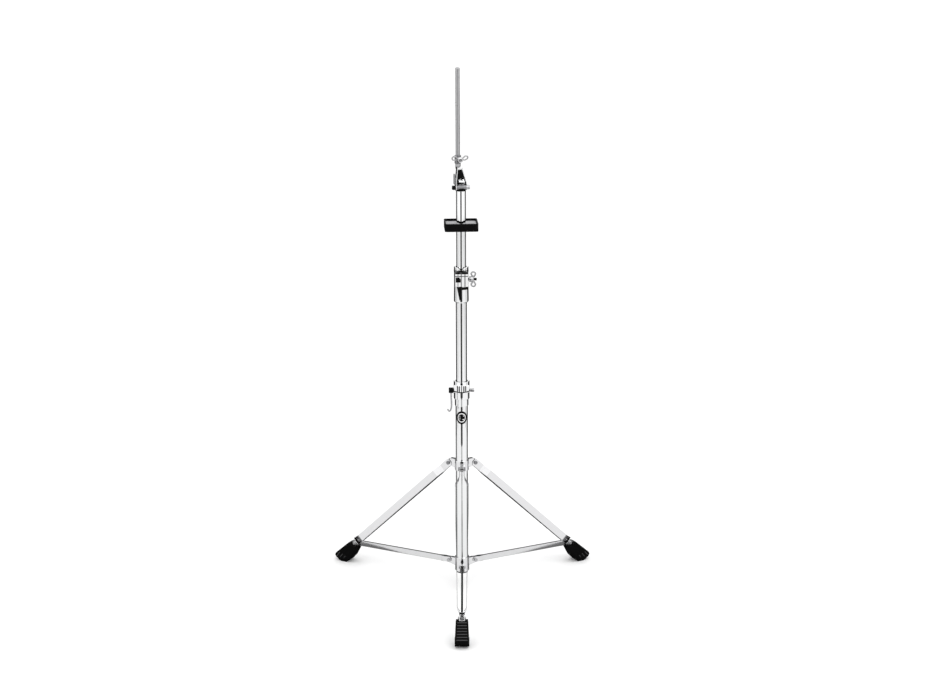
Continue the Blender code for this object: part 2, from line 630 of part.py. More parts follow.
def make_middle_section():
    ring("middle_tube", MIDDLE_TUBE_R - TUBE_WALL, MIDDLE_TUBE_R, *MIDDLE_TUBE_Z, "chrome", middle_frame)
    tube_plug("middle_tube_plug", MIDDLE_TUBE_R, MIDDLE_TUBE_Z[0], middle_frame)
    make_height_clamp()
    ring("height_clamp_bushing", UPPER_TUBE_R + GAP, MIDDLE_TUBE_R, MIDDLE_TUBE_Z[1] + 1 * MM,
         HEIGHT_CLAMP_Z[1] - 6 * MM, "black_plastic", middle_frame)
    bolt_frame = pivot("height_bolt_frame", middle_frame, (0, HEIGHT_BOLT_Y, HEIGHT_BOLT_Z),
                       (0, math.pi / 2, 0))
    bolt = cylinder("height_clamp_bolt", CLAMP_BOLT_R, -12 * MM, 35 * MM, "Z", "dark_steel", bolt_frame)
    join(bolt, cylinder("join_bolt_head", 3.7 * MM, -12 * MM, -5 * MM, "Z", None, bolt_frame, sides=6))
    wing_frame = pivot("height_wing_frame", bolt_frame, (0, 0, HEIGHT_CLAMP_R + 1.2 * MM))
    loop_wing_nut("height_wing_nut", "chrome", wing_frame, 6.8 * MM, 10.5 * MM, CLAMP_BOLT_R + GAP,
                  12.2 * MM, 11.0 * MM, 4.8 * MM, 0.0)


# ---------------------------------------------------------------- upper section

def make_tray():
    """Shallow tray: a recess above the floor, a hollow underside and a sleeve around the tube."""
    half = TRAY_SIZE / 2
    height = TRAY_SIZE.z
    floor = height - TRAY_RECESS - TRAY_FLOOR
    inner = (half.x - TRAY_WALL, half.y - TRAY_WALL)
    tray = box("tray", (-half.x, -half.y, 0), (half.x, half.y, height), "black_plastic",
               tray_frame, 1.2 * MM)
    sleeve_r = UPPER_TUBE_R + 4.5 * MM
    cut(tray,
        box("cut_tray_recess", (-inner[0], -inner[1], height - TRAY_RECESS),
            (*inner, height + 5 * MM), None, tray_frame),
        box("cut_tray_underside", (-inner[0], -inner[1], -5 * MM), (*inner, floor), None, tray_frame))
    join(tray,
         cylinder("join_tray_sleeve", sleeve_r, 0.0, floor + 1 * MM, "Z", None, tray_frame, sides=TUBE_SIDES),
         box("join_tray_rib", (-5.5 * MM, 10 * MM, 0.5 * MM),
             (5.5 * MM, half.y - 1 * MM, floor + 1 * MM), None, tray_frame))
    screw_z = 4.5 * MM
    cut(tray,
        cylinder("cut_tray_bore", UPPER_TUBE_R + GAP, -5 * MM, height + 5 * MM, "Z", None, tray_frame,
                 sides=TUBE_SIDES),
        cylinder("cut_tray_screw", 2.3 * MM, 5 * MM, 50 * MM, "Y", None, tray_frame, (0, 0, screw_z), 12))
    mat_low = height - TRAY_RECESS + GAP
    mat = box("tray_mat", (GAP - inner[0], GAP - inner[1], mat_low),
              (inner[0] - GAP, inner[1] - GAP, mat_low + MAT_THICKNESS), "grey_mat", tray_frame)
    cut(mat, cylinder("cut_mat_bore", UPPER_TUBE_R + 2 * GAP, 0, height, "Z", None,
                      tray_frame, sides=TUBE_SIDES))
    for side in (-1, 1):
        x = 22 * MM * side
        cut(mat, box(f"cut_mat_slot_{side}", (x - 8 * MM, -1.2 * MM, 0),
                     (x + 8 * MM, 1.2 * MM, height), None, tray_frame))
    screw_frame = pivot("tray_screw_frame", tray_frame, (0, 0, screw_z), (-math.pi / 2, 0, 0))
    head = half.y + 1 * MM
    lathe("tray_screw", [(0, head + 8 * MM), (6.6 * MM, head + 8 * MM), (7.4 * MM, head + 7 * MM),
                         (7.4 * MM, head + 1 * MM), (6.6 * MM, head), (2.0 * MM, head),
                         (2.0 * MM, UPPER_TUBE_R + GAP), (0, UPPER_TUBE_R + GAP)],
          "black_plastic", screw_frame, SMALL_SIDES)


def make_tilter_base():
    """Stem in the tube, a horizontal barrel on top, and a toothed block fixed above the barrel."""
    tube_top = UPPER_TUBE_Z[1] - TILTER_Z
    stem_r = UPPER_TUBE_R - TUBE_WALL - GAP
    cap_r = 10.9 * MM
    profile = [(0, tube_top + 6 * MM), (10 * MM, tube_top + 6 * MM), (cap_r, tube_top + 2.5 * MM),
               (cap_r, tube_top + GAP), (stem_r, tube_top + GAP), (stem_r, tube_top - 25 * MM),
               (0, tube_top - 25 * MM)]
    base = lathe("tilter_base", profile, "steel", swivel_frame)
    join(base, cylinder("join_barrel", BARREL_R, -BARREL_HALF, BARREL_HALF, "X", None, swivel_frame))
    cut(base, cylinder("cut_barrel", PIN_HOLE_R, -20 * MM, 20 * MM, "X", None, swivel_frame))
    teeth = []
    for tooth in range(8):
        start = 138 - 12 * tooth
        teeth += arc(RATCHET_R, start, start - 5, 1) + arc(RATCHET_R - 2 * MM, start - 7, start - 11, 1)
    outline = teeth + arc(BARREL_R + GAP, 45, 135, 6)
    ratchet = outline_plate("tilter_ratchet", outline, 6.5 * MM, "chrome", swivel_frame,
                            (math.pi / 2, 0, math.pi / 2), (HEAD_SHIFT, 0, 0))
    cut(ratchet, box("cut_ratchet", (HEAD_SHIFT - 1.2 * MM, -6 * MM, RATCHET_R - 3.5 * MM),
                     (HEAD_SHIFT + 1.2 * MM, 6 * MM, RATCHET_R + 3 * MM), None, swivel_frame))


def leaning_slab(name, lower, upper, half_depth, z_low, z_high, finish, frame):
    """A slab whose x extent changes from lower=(x0, x1) at z_low to upper at z_high."""
    bm = bmesh.new()
    bmesh.ops.create_cube(bm, size=2.0)
    for vert in bm.verts:
        x0, x1 = upper if vert.co.z > 0 else lower
        vert.co = ((x1 if vert.co.x > 0 else x0), vert.co.y * half_depth,
                   (z_high if vert.co.z > 0 else z_low))
    return from_bmesh(name, bm, finish, frame)


def make_yoke():
    """A-shaped bracket: two side plates on the barrel's bolt, meeting in a bridge at the top."""
    inner = BARREL_HALF + GAP
    outer = inner + PLATE
    top_left, top_right = -9.9 * MM, 2.7 * MM
    knee, crown = 8 * MM, 42 * MM
    yoke = cylinder("tilter_yoke", 6.8 * MM, inner, outer, "X", "chrome", tilt_frame)
    pieces = [cylinder("join_yoke_eye", 6.8 * MM, -outer, -inner, "X", None, tilt_frame)]
    for side, lean in ((-1, (top_left, top_left + PLATE)), (1, (top_right - PLATE, top_right))):
        edge = (inner, outer) if side > 0 else (-outer, -inner)
        pieces.append(leaning_slab(f"join_yoke_low_{side}", edge, edge, 6 * MM, 0, knee, None, tilt_frame))
        pieces.append(leaning_slab(f"join_yoke_high_{side}", edge, lean, 6 * MM, knee - 0.001 * MM,
                                   crown, None, tilt_frame))
    pieces.append(box("join_yoke_bridge", (top_left, -6.5 * MM, crown - 1 * MM),
                      (top_right, 6.5 * MM, YOKE_TOP), None, tilt_frame, 1.2 * MM))
    pieces.append(box("join_yoke_seat", (top_left, 0, crown - 1 * MM),
                      (HOLDER_X + 6 * MM, 10.5 * MM, YOKE_TOP), None, tilt_frame))
    join(yoke, *reversed(pieces))
    cut(yoke, cylinder("cut_yoke", PIN_HOLE_R, -20 * MM, 20 * MM, "X", None, tilt_frame))
    leaning_slab("tilter_pawl", (-9.4 * MM, 6.2 * MM), (-7.7 * MM, 0.7 * MM), 5.6 * MM,
                 RATCHET_R + 0.6 * MM, crown - 1.4 * MM, "black_plastic", tilt_frame)
    box("tilter_release_bar", (-outer - 2.6 * MM, -2.5 * MM, 7.2 * MM), (-outer - GAP, 6 * MM, 31 * MM),
        "steel", tilt_frame, 0.5 * MM)


def make_tilter_bolt():
    """Square-headed pivot bolt along X and its round nut."""
    outer = BARREL_HALF + GAP + PLATE + GAP
    bolt = cylinder("tilter_bolt", PIN_R, -outer - 3 * MM, 18.5 * MM, "X", "dark_steel", tilt_frame)
    join(bolt, box("join_bolt_square", (-20.0 * MM, -4.4 * MM, -4.4 * MM),
                   (-outer, 4.4 * MM, 4.4 * MM), None, tilt_frame, 0.8 * MM))
    ring("tilter_nut", PIN_HOLE_R, 5.0 * MM, outer, 19.8 * MM, "steel",
         pivot("tilter_nut_frame", tilt_frame, (0, 0, 0), (0, math.pi / 2, 0)), 0.8 * MM, SMALL_SIDES)


def make_rod_and_holder():
    """Upright holder with a bore for the rod and a boss in front for the clamping stud."""
    neck, shoulder = YOKE_TOP + GAP, 53.0 * MM
    boss_z = 64.0 * MM
    body_r = 7.2 * MM
    neck_r = 4.8 * MM
    profile = [(0, HOLDER_TOP), (body_r - 1 * MM, HOLDER_TOP), (body_r, HOLDER_TOP - 1 * MM),
               (body_r, shoulder + 2 * MM), (neck_r, shoulder - 1 * MM), (neck_r, neck), (0, neck)]
    holder = lathe("rod_holder", profile, "steel", rod_frame, SMALL_SIDES)
    centre = (0, 0, boss_z)
    join(holder, cylinder("join_holder_boss", 6.0 * MM, -14 * MM, 0, "Y", None, rod_frame, centre))
    join(holder, cylinder("join_holder_stud", PIN_R, -25.5 * MM, -10 * MM, "Y", None, rod_frame, centre))
    cut(holder, cylinder("cut_holder_bore", ROD_R + GAP, ROD_FOOT - GAP, HOLDER_TOP + 5 * MM, "Z", None,
                         rod_frame))
    nut_frame = pivot("rod_wing_frame", rod_frame, (0, -14.4 * MM, boss_z), (math.pi / 2, 0, 0))
    loop_wing_nut("rod_wing_nut", "chrome", nut_frame, 6.3 * MM, 9.5 * MM, PIN_HOLE_R, 12.4 * MM, 4.0 * MM,
                  5.4 * MM, math.radians(60))
    tip = 2.0 * MM
    lathe("top_rod", [(0, ROD_TOP), (ROD_R - tip, ROD_TOP), (ROD_R, ROD_TOP - tip), (ROD_R, ROD_FOOT),
                      (0, ROD_FOOT)], "steel", rod_frame, SMALL_SIDES)


def make_upper_section():
    ring("upper_tube", UPPER_TUBE_R - TUBE_WALL, UPPER_TUBE_R, *UPPER_TUBE_Z, "chrome", upper_frame)
    tube_plug("upper_tube_plug", UPPER_TUBE_R, UPPER_TUBE_Z[0], upper_frame)
    make_tray()
    make_tilter_base()
    make_yoke()
    make_tilter_bolt()
    make_rod_and_holder()


def shade_round_parts():
    for obj in PARTS.objects:
        if obj.type == "MESH":
            obj.data.shade_smooth()
            obj.data.set_sharp_from_angle(angle=math.radians(35))


make_base_tube()
make_badge()
make_base_clamp()
make_base_clamp_fittings()
make_lever()
make_tripod()
make_middle_section()
make_upper_section()
shade_round_parts()
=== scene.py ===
"""Looks of the tripod percussion stand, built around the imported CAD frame.

Lengths are metres (x * MM is millimetres) and +Z is up. Each piece is drawn in the
local frame of the CAD node it stands for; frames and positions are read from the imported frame's boxes.
"""
import math

import bmesh
import bpy
from mathutils import Matrix, Vector


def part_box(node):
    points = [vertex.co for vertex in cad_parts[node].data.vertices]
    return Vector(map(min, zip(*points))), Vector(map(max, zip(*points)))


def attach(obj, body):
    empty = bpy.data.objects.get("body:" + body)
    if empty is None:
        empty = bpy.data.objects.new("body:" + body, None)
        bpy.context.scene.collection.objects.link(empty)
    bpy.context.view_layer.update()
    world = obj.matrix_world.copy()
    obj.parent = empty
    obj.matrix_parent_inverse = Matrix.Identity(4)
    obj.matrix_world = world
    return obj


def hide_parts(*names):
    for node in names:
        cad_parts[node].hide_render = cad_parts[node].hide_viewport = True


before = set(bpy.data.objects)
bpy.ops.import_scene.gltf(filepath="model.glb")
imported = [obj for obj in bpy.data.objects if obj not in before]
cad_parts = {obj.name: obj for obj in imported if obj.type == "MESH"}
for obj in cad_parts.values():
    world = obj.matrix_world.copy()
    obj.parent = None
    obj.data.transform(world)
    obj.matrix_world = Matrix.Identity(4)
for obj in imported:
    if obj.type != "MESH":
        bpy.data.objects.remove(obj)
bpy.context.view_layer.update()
MM = 0.001
LEGS = {"front": -90.0, "left": 150.0, "right": 30.0}
TRAY_YAW = 3.0
TILTER_YAW = 15.0
TINY = 1e-7
CLEARANCE = 0.3 * MM


# ---------------------------------------------------------------- materials

def node_material(name, colour, roughness, metallic=0.0, spread=0.04, scale=60.0, bump=0.02,
                  fine=900.0, specular=0.5, tone=0.0):
    """A finish whose roughness, tone and fine relief vary with a noise in the object's own space."""
    material = bpy.data.materials.new(name)
    material.use_nodes = True
    tree = material.node_tree
    nodes, links = tree.nodes, tree.links
    shader = nodes["Principled BSDF"]
    shader.inputs["Base Color"].default_value = (*colour, 1.0)
    shader.inputs["Roughness"].default_value = roughness
    shader.inputs["Metallic"].default_value = metallic
    shader.inputs["Specular IOR Level"].default_value = specular
    where = nodes.new("ShaderNodeTexCoord")
    broad = nodes.new("ShaderNodeTexNoise")
    broad.inputs["Scale"].default_value = scale
    broad.inputs["Detail"].default_value = 4.0
    links.new(where.outputs["Object"], broad.inputs["Vector"])
    spreader = nodes.new("ShaderNodeMapRange")
    spreader.inputs["From Min"].default_value = 0.3
    spreader.inputs["From Max"].default_value = 0.7
    spreader.inputs["To Min"].default_value = max(0.0, roughness - spread)
    spreader.inputs["To Max"].default_value = roughness + spread
    links.new(broad.outputs["Fac"], spreader.inputs["Value"])
    links.new(spreader.outputs["Result"], shader.inputs["Roughness"])
    if tone:
        mixer = nodes.new("ShaderNodeMix")
        mixer.data_type = "RGBA"
        mixer.inputs["A"].default_value = (*[c * (1 - tone) for c in colour], 1.0)
        mixer.inputs["B"].default_value = (*[min(1.0, c * (1 + tone)) for c in colour], 1.0)
        links.new(broad.outputs["Fac"], mixer.inputs["Factor"])
        links.new(mixer.outputs["Result"], shader.inputs["Base Color"])
    grain = nodes.new("ShaderNodeTexNoise")
    grain.inputs["Scale"].default_value = fine
    grain.inputs["Detail"].default_value = 3.0
    links.new(where.outputs["Object"], grain.inputs["Vector"])
    relief = nodes.new("ShaderNodeBump")
    relief.inputs["Strength"].default_value = bump
    relief.inputs["Distance"].default_value = 0.0003
    links.new(grain.outputs["Fac"], relief.inputs["Height"])
    links.new(relief.outputs["Normal"], shader.inputs["Normal"])
    return material


# Key: material name, colour, roughness, metallic, spread, scale, bump, fine, specular, tone.
FINISH_VALUES = {
    "chrome": ("chrome_plate", (0.93, 0.935, 0.94), 0.035, 1.0, 0.015, 22.0, 0.010, 700.0),
    "leg_chrome": ("leg_chrome", (0.84, 0.84, 0.85), 0.09, 1.0, 0.03, 18.0, 0.015, 600.0),
    "brace_chrome": ("brace_chrome", (0.80, 0.80, 0.81), 0.12, 1.0, 0.03, 24.0, 0.020, 600.0),
    "steel": ("zinc_steel", (0.50, 0.50, 0.51), 0.26, 1.0, 0.07, 90.0, 0.08, 1400.0),
    "grey_steel": ("grey_casting", (0.27, 0.27, 0.28), 0.34, 1.0, 0.07, 90.0, 0.10, 1200.0),
    "knurl": ("knurled_steel", (0.52, 0.52, 0.53), 0.34, 1.0, 0.08, 160.0, 0.10, 1600.0),
    "dark_steel": ("black_oxide", (0.003, 0.003, 0.003), 0.40, 0.0, 0.08, 110.0, 0.10, 1300.0, 0.08),
    "black_plastic": ("moulded_black", (0.002, 0.002, 0.002), 0.50, 0.0, 0.08, 120.0, 0.12, 1700.0,
                                   0.07),
    "rubber": ("black_rubber", (0.002, 0.002, 0.002), 0.66, 0.0, 0.10, 90.0, 0.30, 900.0, 0.06),
    # The ribs are a lighter grey than the boot: a painted highlight on their tops.
    "rib_highlight_rubber": ("rib_painted_highlight", (0.060, 0.060, 0.062), 0.55, 0.0, 0.10, 140.0, 0.30, 900.0, 0.3),
    "grey_mat": ("grey_mat", (0.40, 0.40, 0.41), 0.85, 0.0, 0.08, 300.0, 0.55, 1500.0, 0.3, 0.10),
    "white_print": ("white_print", (0.85, 0.85, 0.85), 0.50, 0.0, 0.06, 200.0, 0.05, 1500.0),
}
FINISH = {key: node_material(*values) for key, values in FINISH_VALUES.items()}


# ---------------------------------------------------------------- places read from the frame

def centre(*nodes):
    boxes = [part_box(node) for node in nodes]
    return sum(((low + high) / 2 for low, high in boxes), Vector()) / len(boxes)


def heights(node):
    low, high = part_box(node)
    return low.z, high.z


def radius_of(node):
    low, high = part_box(node)
    return (high.x - low.x) / 2


def along(start, end, across):
    """A frame at start with Z towards end and Y across."""
    up = (end - start).normalized()
    side = across.cross(up).normalized()
    turn = Matrix((side, across, up)).transposed().to_4x4()
    return Matrix.Translation(start) @ turn


def turned(origin, degrees_about_z):
    return Matrix.Translation(origin) @ Matrix.Rotation(math.radians(degrees_about_z), 4, "Z")


AXIS = centre("base_tube")
AXIS.z = 0.0
COLUMN = Matrix.Translation(AXIS)
X_AXIS = Matrix.Rotation(math.pi / 2, 4, "Y")
Y_AXIS = Matrix.Rotation(-math.pi / 2, 4, "X")


# ---------------------------------------------------------------- mesh tools

def mm(*points):
    """The given points, from millimetres to metres."""
    return [tuple(value * MM for value in point) for point in points]


def linked(name, data):
    """A new object in the scene."""
    obj = bpy.data.objects.new(name, data)
    bpy.context.scene.collection.objects.link(obj)
    return obj


def evaluated(obj):
    """A new mesh of an object with its modifiers applied."""
    bpy.context.view_layer.update()
    return bpy.data.meshes.new_from_object(obj.evaluated_get(bpy.context.evaluated_depsgraph_get()))


def finish_piece(bm, name, where, finish, body, nodes=(), sharp=38.0, weighted=False, recalc=True):
    """Turn a bmesh into a shown piece that rides on a body and stands for CAD nodes."""
    bmesh.ops.remove_doubles(bm, verts=bm.verts, dist=TINY)
    if recalc:
        bmesh.ops.recalc_face_normals(bm, faces=bm.faces)
    bmesh.ops.transform(bm, matrix=where, verts=bm.verts)
    mesh = bpy.data.meshes.new(name)
    bm.to_mesh(mesh)
    bm.free()
    mesh.shade_smooth()
    mesh.set_sharp_from_angle(angle=math.radians(sharp))
    mesh.materials.append(FINISH[finish])
    obj = linked(name, mesh)
    if weighted:
        obj.modifiers.new("normals", "WEIGHTED_NORMAL").keep_sharp = True
    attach(obj, body)
    if nodes:
        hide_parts(*nodes)
    return obj


def fillet(points, radius, steps=3, closed=True, skip=()):
    """Round the corners of an outline; skip lists corners that stay sharp."""
    rounded = []
    count = len(points)
    for i, point in enumerate(points):
        p = Vector(point)
        if i in skip or (not closed and i in (0, count - 1)):
            rounded.append(tuple(p))
            continue
        a, b = Vector(points[i - 1]), Vector(points[(i + 1) % count])
        reach = min(radius, (a - p).length * 0.45, (b - p).length * 0.45)
        start, end = p + (a - p).normalized() * reach, p + (b - p).normalized() * reach
        for step in range(steps + 1):
            t = step / steps
            rounded.append(tuple((1 - t) ** 2 * start + 2 * t * (1 - t) * p + t * t * end))
    return rounded


def join_rings(bm, first, second):
    """A band of faces between two rings, either of which may be a single point."""
    count = max(len(first), len(second))
    for i in range(count):
        j = (i + 1) % count
        corners = [first[i % len(first)], first[j % len(first)], second[j % len(second)],
                   second[i % len(second)]]
        unique = []
        for vert in corners:
            if vert not in unique:
                unique.append(vert)
        if len(unique) > 2:
            bm.faces.new(unique)


def ring(bm, radii, z, where=Matrix.Identity(4)):
    """Vertices evenly spaced about Z, one for each radius."""
    turns = [2 * math.pi * i / len(radii) for i in range(len(radii))]
    return [bm.verts.new(where @ Vector((r * math.cos(a), r * math.sin(a), z))) for r,
            a in zip(radii, turns)]


def lathed(profile, sides=96, bm=None, where=Matrix.Identity(4)):
    """Turn (radius, z) points about Z. A profile that misses the axis is closed into a ring."""
    bm = bm or bmesh.new()
    rings = []
    for r, z in profile:
        if r < TINY:
            rings.append([bm.verts.new(where @ Vector((0, 0, z)))])
        else:
            rings.append(ring(bm, [r] * sides, z, where))
    for first, second in zip(rings, rings[1:]):
        join_rings(bm, first, second)
    if profile[0][0] > TINY and profile[-1][0] > TINY:
        join_rings(bm, rings[-1], rings[0])
    return bm


def tube_profile(inner, outer, low, high, radius=0.4 * MM, steps=3):
    """The section of a tube with rounded rims."""
    return fillet([(outer, low), (outer, high), (inner, high), (inner, low)], radius, steps)


def solid_profile(points, radius, steps=3):
    """A rounded profile that is closed to the axis at both ends."""
    return [(0, points[0][1]), *fillet(points, radius, steps, closed=False), (0, points[-1][1])]


def drill(r, low, high, sides=96):
    """A plain cylinder that cuts a bore."""
    return lathed([(0, low), (r, low), (r, high), (0, high)], sides)


def prism(outline, axis, low, high, bevel=0.0, segments=2, bm=None, where=Matrix.Identity(4), shape=None):
    """An outline in the plane across an axis, thick from low to high; shape moves each new vertex."""
    made = bmesh.new()
    place = {"Z": lambda a, b, t: (a, b, t), "Y": lambda a, b, t: (a, t, b), "X": lambda a, b,
             t: (t, a, b)}[axis]
    lower = [made.verts.new(place(a, b, low)) for a, b in outline]
    upper = [made.verts.new(place(a, b, high)) for a, b in outline]
    made.faces.new(lower)
    made.faces.new(upper[::-1])
    for i in range(len(outline)):
        j = (i + 1) % len(outline)
        made.faces.new((lower[i], lower[j], upper[j], upper[i]))
    if shape:
        for vert in made.verts:
            vert.co = shape(vert.co)
    bmesh.ops.recalc_face_normals(made, faces=made.faces)
    if bevel:
        sharp = [e for e in made.edges if len(e.link_faces) == 2 and e.calc_face_angle(0) > math.radians(30)]
        bmesh.ops.bevel(made, geom=sharp, offset=bevel, segments=segments, profile=0.5, affect="EDGES",
                        clamp_overlap=True)
    return merge(made, bm, where)


def merge(made, bm, where=Matrix.Identity(4)):
    """Move a mesh into place, and into another mesh when one is given."""
    bmesh.ops.transform(made, matrix=where, verts=made.verts)
    if bm is None:
        return made
    mesh = bpy.data.meshes.new("merge")
    made.to_mesh(mesh)
    made.free()
    bm.from_mesh(mesh)
    bpy.data.meshes.remove(mesh)
    return bm


def block(low, high, bevel=0.0, segments=2, bm=None, where=Matrix.Identity(4)):
    """A bevelled box between two opposite corners."""
    outline = [(low[0], low[1]), (high[0], low[1]), (high[0], high[1]), (low[0], high[1])]
    return prism(outline, "Z", low[2], high[2], bevel, segments, bm, where)


def rod_between(start, end, r, sides=32, bm=None, rim=0.0, where=Matrix.Identity(4)):
    """A round bar between two points."""
    start, end = Vector(start), Vector(end)
    length = (end - start).length
    turn = Matrix.Translation(start) @ (end - start).to_track_quat("Z", "Y").to_matrix().to_4x4()
    profile = solid_profile([(r * 0.5, 0), (r, 0), (r, length), (r * 0.5, length)], rim or r * 0.02)
    return lathed(profile, sides, bm, where @ turn)


def swept(path, radii, sides=16, closed=False, bm=None, where=Matrix.Identity(4)):
    """A round wire along a smooth path; radii is one radius or one for each point."""
    bm = bm or bmesh.new()
    points = [Vector(p) for p in path]
    if not hasattr(radii, "__len__"):
        radii = [radii] * len(points)
    rings = []
    normal = None
    count = len(points)
    for i, p in enumerate(points):
        before = points[(i - 1) % count] if closed or i else p
        after = points[(i + 1) % count] if closed or i < count - 1 else p
        tangent = (after - before).normalized()
        if normal is None:
            normal = tangent.orthogonal().normalized()
        normal = (normal - tangent * normal.dot(tangent)).normalized()
        side = tangent.cross(normal)
        rings.append([bm.verts.new(where @ (p + (normal * math.cos(a) + side * math.sin(a)) * radii[i]))
                      for a in (2 * math.pi * k / sides for k in range(sides))])
    for first, second in zip(rings, rings[1:]):
        join_rings(bm, first, second)
    if closed:
        join_rings(bm, rings[-1], rings[0])
    else:
        bm.faces.new(rings[0][::-1])
        bm.faces.new(rings[-1])
    return bm


def smooth_path(points, steps=6, closed=False):
    """Catmull-Rom points through the given ones."""
    pts = [Vector(p) for p in points]
    count = len(pts)
    out = []
    for i in range(count if closed else count - 1):
        p1, p2 = pts[i], pts[(i + 1) % count]
        p0 = pts[i - 1] if closed or i else p1 * 2 - p2
        p3 = pts[(i + 2) % count] if closed or i + 2 < count else p2 * 2 - p1
        for step in range(steps):
            t = step / steps
            out.append(0.5 * ((2 * p1) + (p2 - p0) * t + (2 * p0 - 5 * p1 + 4 * p2 - p3) * t * t
                              + (3 * p1 - p0 - 3 * p2 + p3) * t ** 3))
    if not closed:
        out.append(pts[-1])
    return out


def arc(r, start, end, steps, middle=(0.0, 0.0)):
    """Points on an arc, angles in degrees, both ends included."""
    angles = [math.radians(start + (end - start) * k / steps) for k in range(steps + 1)]
    return [(middle[0] + r * math.cos(a), middle[1] + r * math.sin(a)) for a in angles]


def carve(bm, cutters, operation="DIFFERENCE"):
    """Apply booleans to a mesh; every mesh handed in is used up."""
    made = []
    for index, source in enumerate([bm, *cutters]):
        mesh = bpy.data.meshes.new(f"carve_{index}")
        bmesh.ops.remove_doubles(source, verts=source.verts, dist=TINY)
        bmesh.ops.recalc_face_normals(source, faces=source.faces)
        source.to_mesh(mesh)
        source.free()
        made.append(linked(f"carve_{index}", mesh))
    target = made[0]
    for cutter in made[1:]:
        step = target.modifiers.new("carve", "BOOLEAN")
        step.operation = operation
        step.object = cutter
        step.solver = "EXACT"
    result = bmesh.new()
    result.from_mesh(evaluated(target))
    for obj in made:
        bpy.data.objects.remove(obj, do_unlink=True)
    return result


# ---------------------------------------------------------------- column tubes

def make_tube(node, body, wall=1.2 * MM):
    low, high = heights(node)
    r = radius_of(node)
    finish_piece(lathed(tube_profile(r - wall, r, low, high)), f"{node}_fine", COLUMN, "chrome", body,
                 [node])


def make_plug(node, body):
    low, high = heights(node)
    r = radius_of(node)
    spigot = r - 1.5 * MM
    profile = solid_profile([(r * 0.4, low), (r - 0.8 * MM, low), (r, low + 2.4 * MM),
                             (spigot, low + 2.5 * MM),
                             (spigot, high)], 0.6 * MM)
    finish_piece(lathed(profile, 64), f"{node}_fine", COLUMN, "black_plastic", body, [node])


make_tube("base_tube", "base")
make_tube("middle_tube", "middle_section")
make_tube("upper_tube", "upper_section")
make_plug("base_tube_plug", "base")
make_plug("middle_tube_plug", "middle_section")
make_plug("upper_tube_plug", "upper_section")


# ---------------------------------------------------------------- badge

def on_tube(u, v, r, middle_z):
    """A point at u along the tube's front and v up it, at radius r."""
    angle = u / r - math.pi / 2
    return Vector((r * math.cos(angle), r * math.sin(angle), middle_z + v))


def make_badge():
    """A domed oval plate with a printed ring and two slanted bars in it."""
    low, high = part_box("badge")
    half_height, half_width = (high.z - low.z) / 2, 13.6 * MM
    middle_z = (low.z + high.z) / 2
    back = radius_of("base_tube") + CLEARANCE
    face = back + 0.8 * MM
    sunk, proud = face - 0.05 * MM, face + 0.06 * MM
    sides, bar_steps = 64, 6

    def oval(bm, share, r):
        angles = [2 * math.pi * k / sides for k in range(sides)]
        spots = [(half_width * share * math.cos(a), half_height * share * math.sin(a)) for a in angles]
        return [bm.verts.new(on_tube(u, v, r, middle_z)) for u, v in spots]

    bm = bmesh.new()
    layers = [(1.0, 0.0), (1.0, 0.45), (0.985, 0.7), (0.95, 0.8), (0.6, 0.8), (0.3, 0.8)]
    rings = [oval(bm, share, back + lift * MM) for share, lift in layers]
    for first, second in zip(rings, rings[1:]):
        join_rings(bm, first, second)
    join_rings(bm, rings[-1], [bm.verts.new(on_tube(0, 0, face, middle_z))])
    finish_piece(bm, "badge_fine", COLUMN, "black_plastic", "base", ["badge"])

    print_mesh = bmesh.new()
    inner, outer = 0.58, 0.70
    rows = [oval(print_mesh, share, r) for share, r in ((inner, sunk), (inner, proud), (outer, proud),
                                                        (outer, sunk))]
    for first, second in zip(rows, rows[1:] + rows[:1]):
        join_rings(print_mesh, first, second)
    bar = [(-5.2, 1.1), (5.2, 3.4), (5.2, 5.6), (-5.2, 3.3)]
    shares = [k / bar_steps for k in range(bar_steps)]
    edges = [(a[0] + (b[0] - a[0]) * t, a[1] + (b[1] - a[1]) * t)
             for a, b in zip(bar, bar[1:] + bar[:1]) for t in shares]
    for side in (-1, 1):
        under, over = ([print_mesh.verts.new(on_tube(u * MM, v * MM * side, r, middle_z)) for u, v in edges]
                       for r in (sunk, proud))
        join_rings(print_mesh, under, over)
        print_mesh.faces.new(over)
        print_mesh.faces.new(under[::-1])
    finish_piece(print_mesh, "badge_print", COLUMN, "white_print", "base")


make_badge()


# ---------------------------------------------------------------- base clamp

def pillow_lugs(left, right, front, low, high):
    """The clamp's block seen from above: two low ridges that meet at the slit."""
    outline = [(left, -6 * MM), (left, front + 3 * MM)]
    for start, end in ((left, -0.5 * MM), (0.5 * MM, right)):
        middle, half = (start + end) / 2, (end - start) / 2
        shares = [k / 5 for k in range(-5, 6)]
        outline += [(middle + half * 0.96 * t, front + 1.6 * MM * abs(t)) for t in shares]
    outline += [(right, front + 3 * MM), (right, -6 * MM)]
    return prism(outline, "Z", low, high, 1.2 * MM, 3)


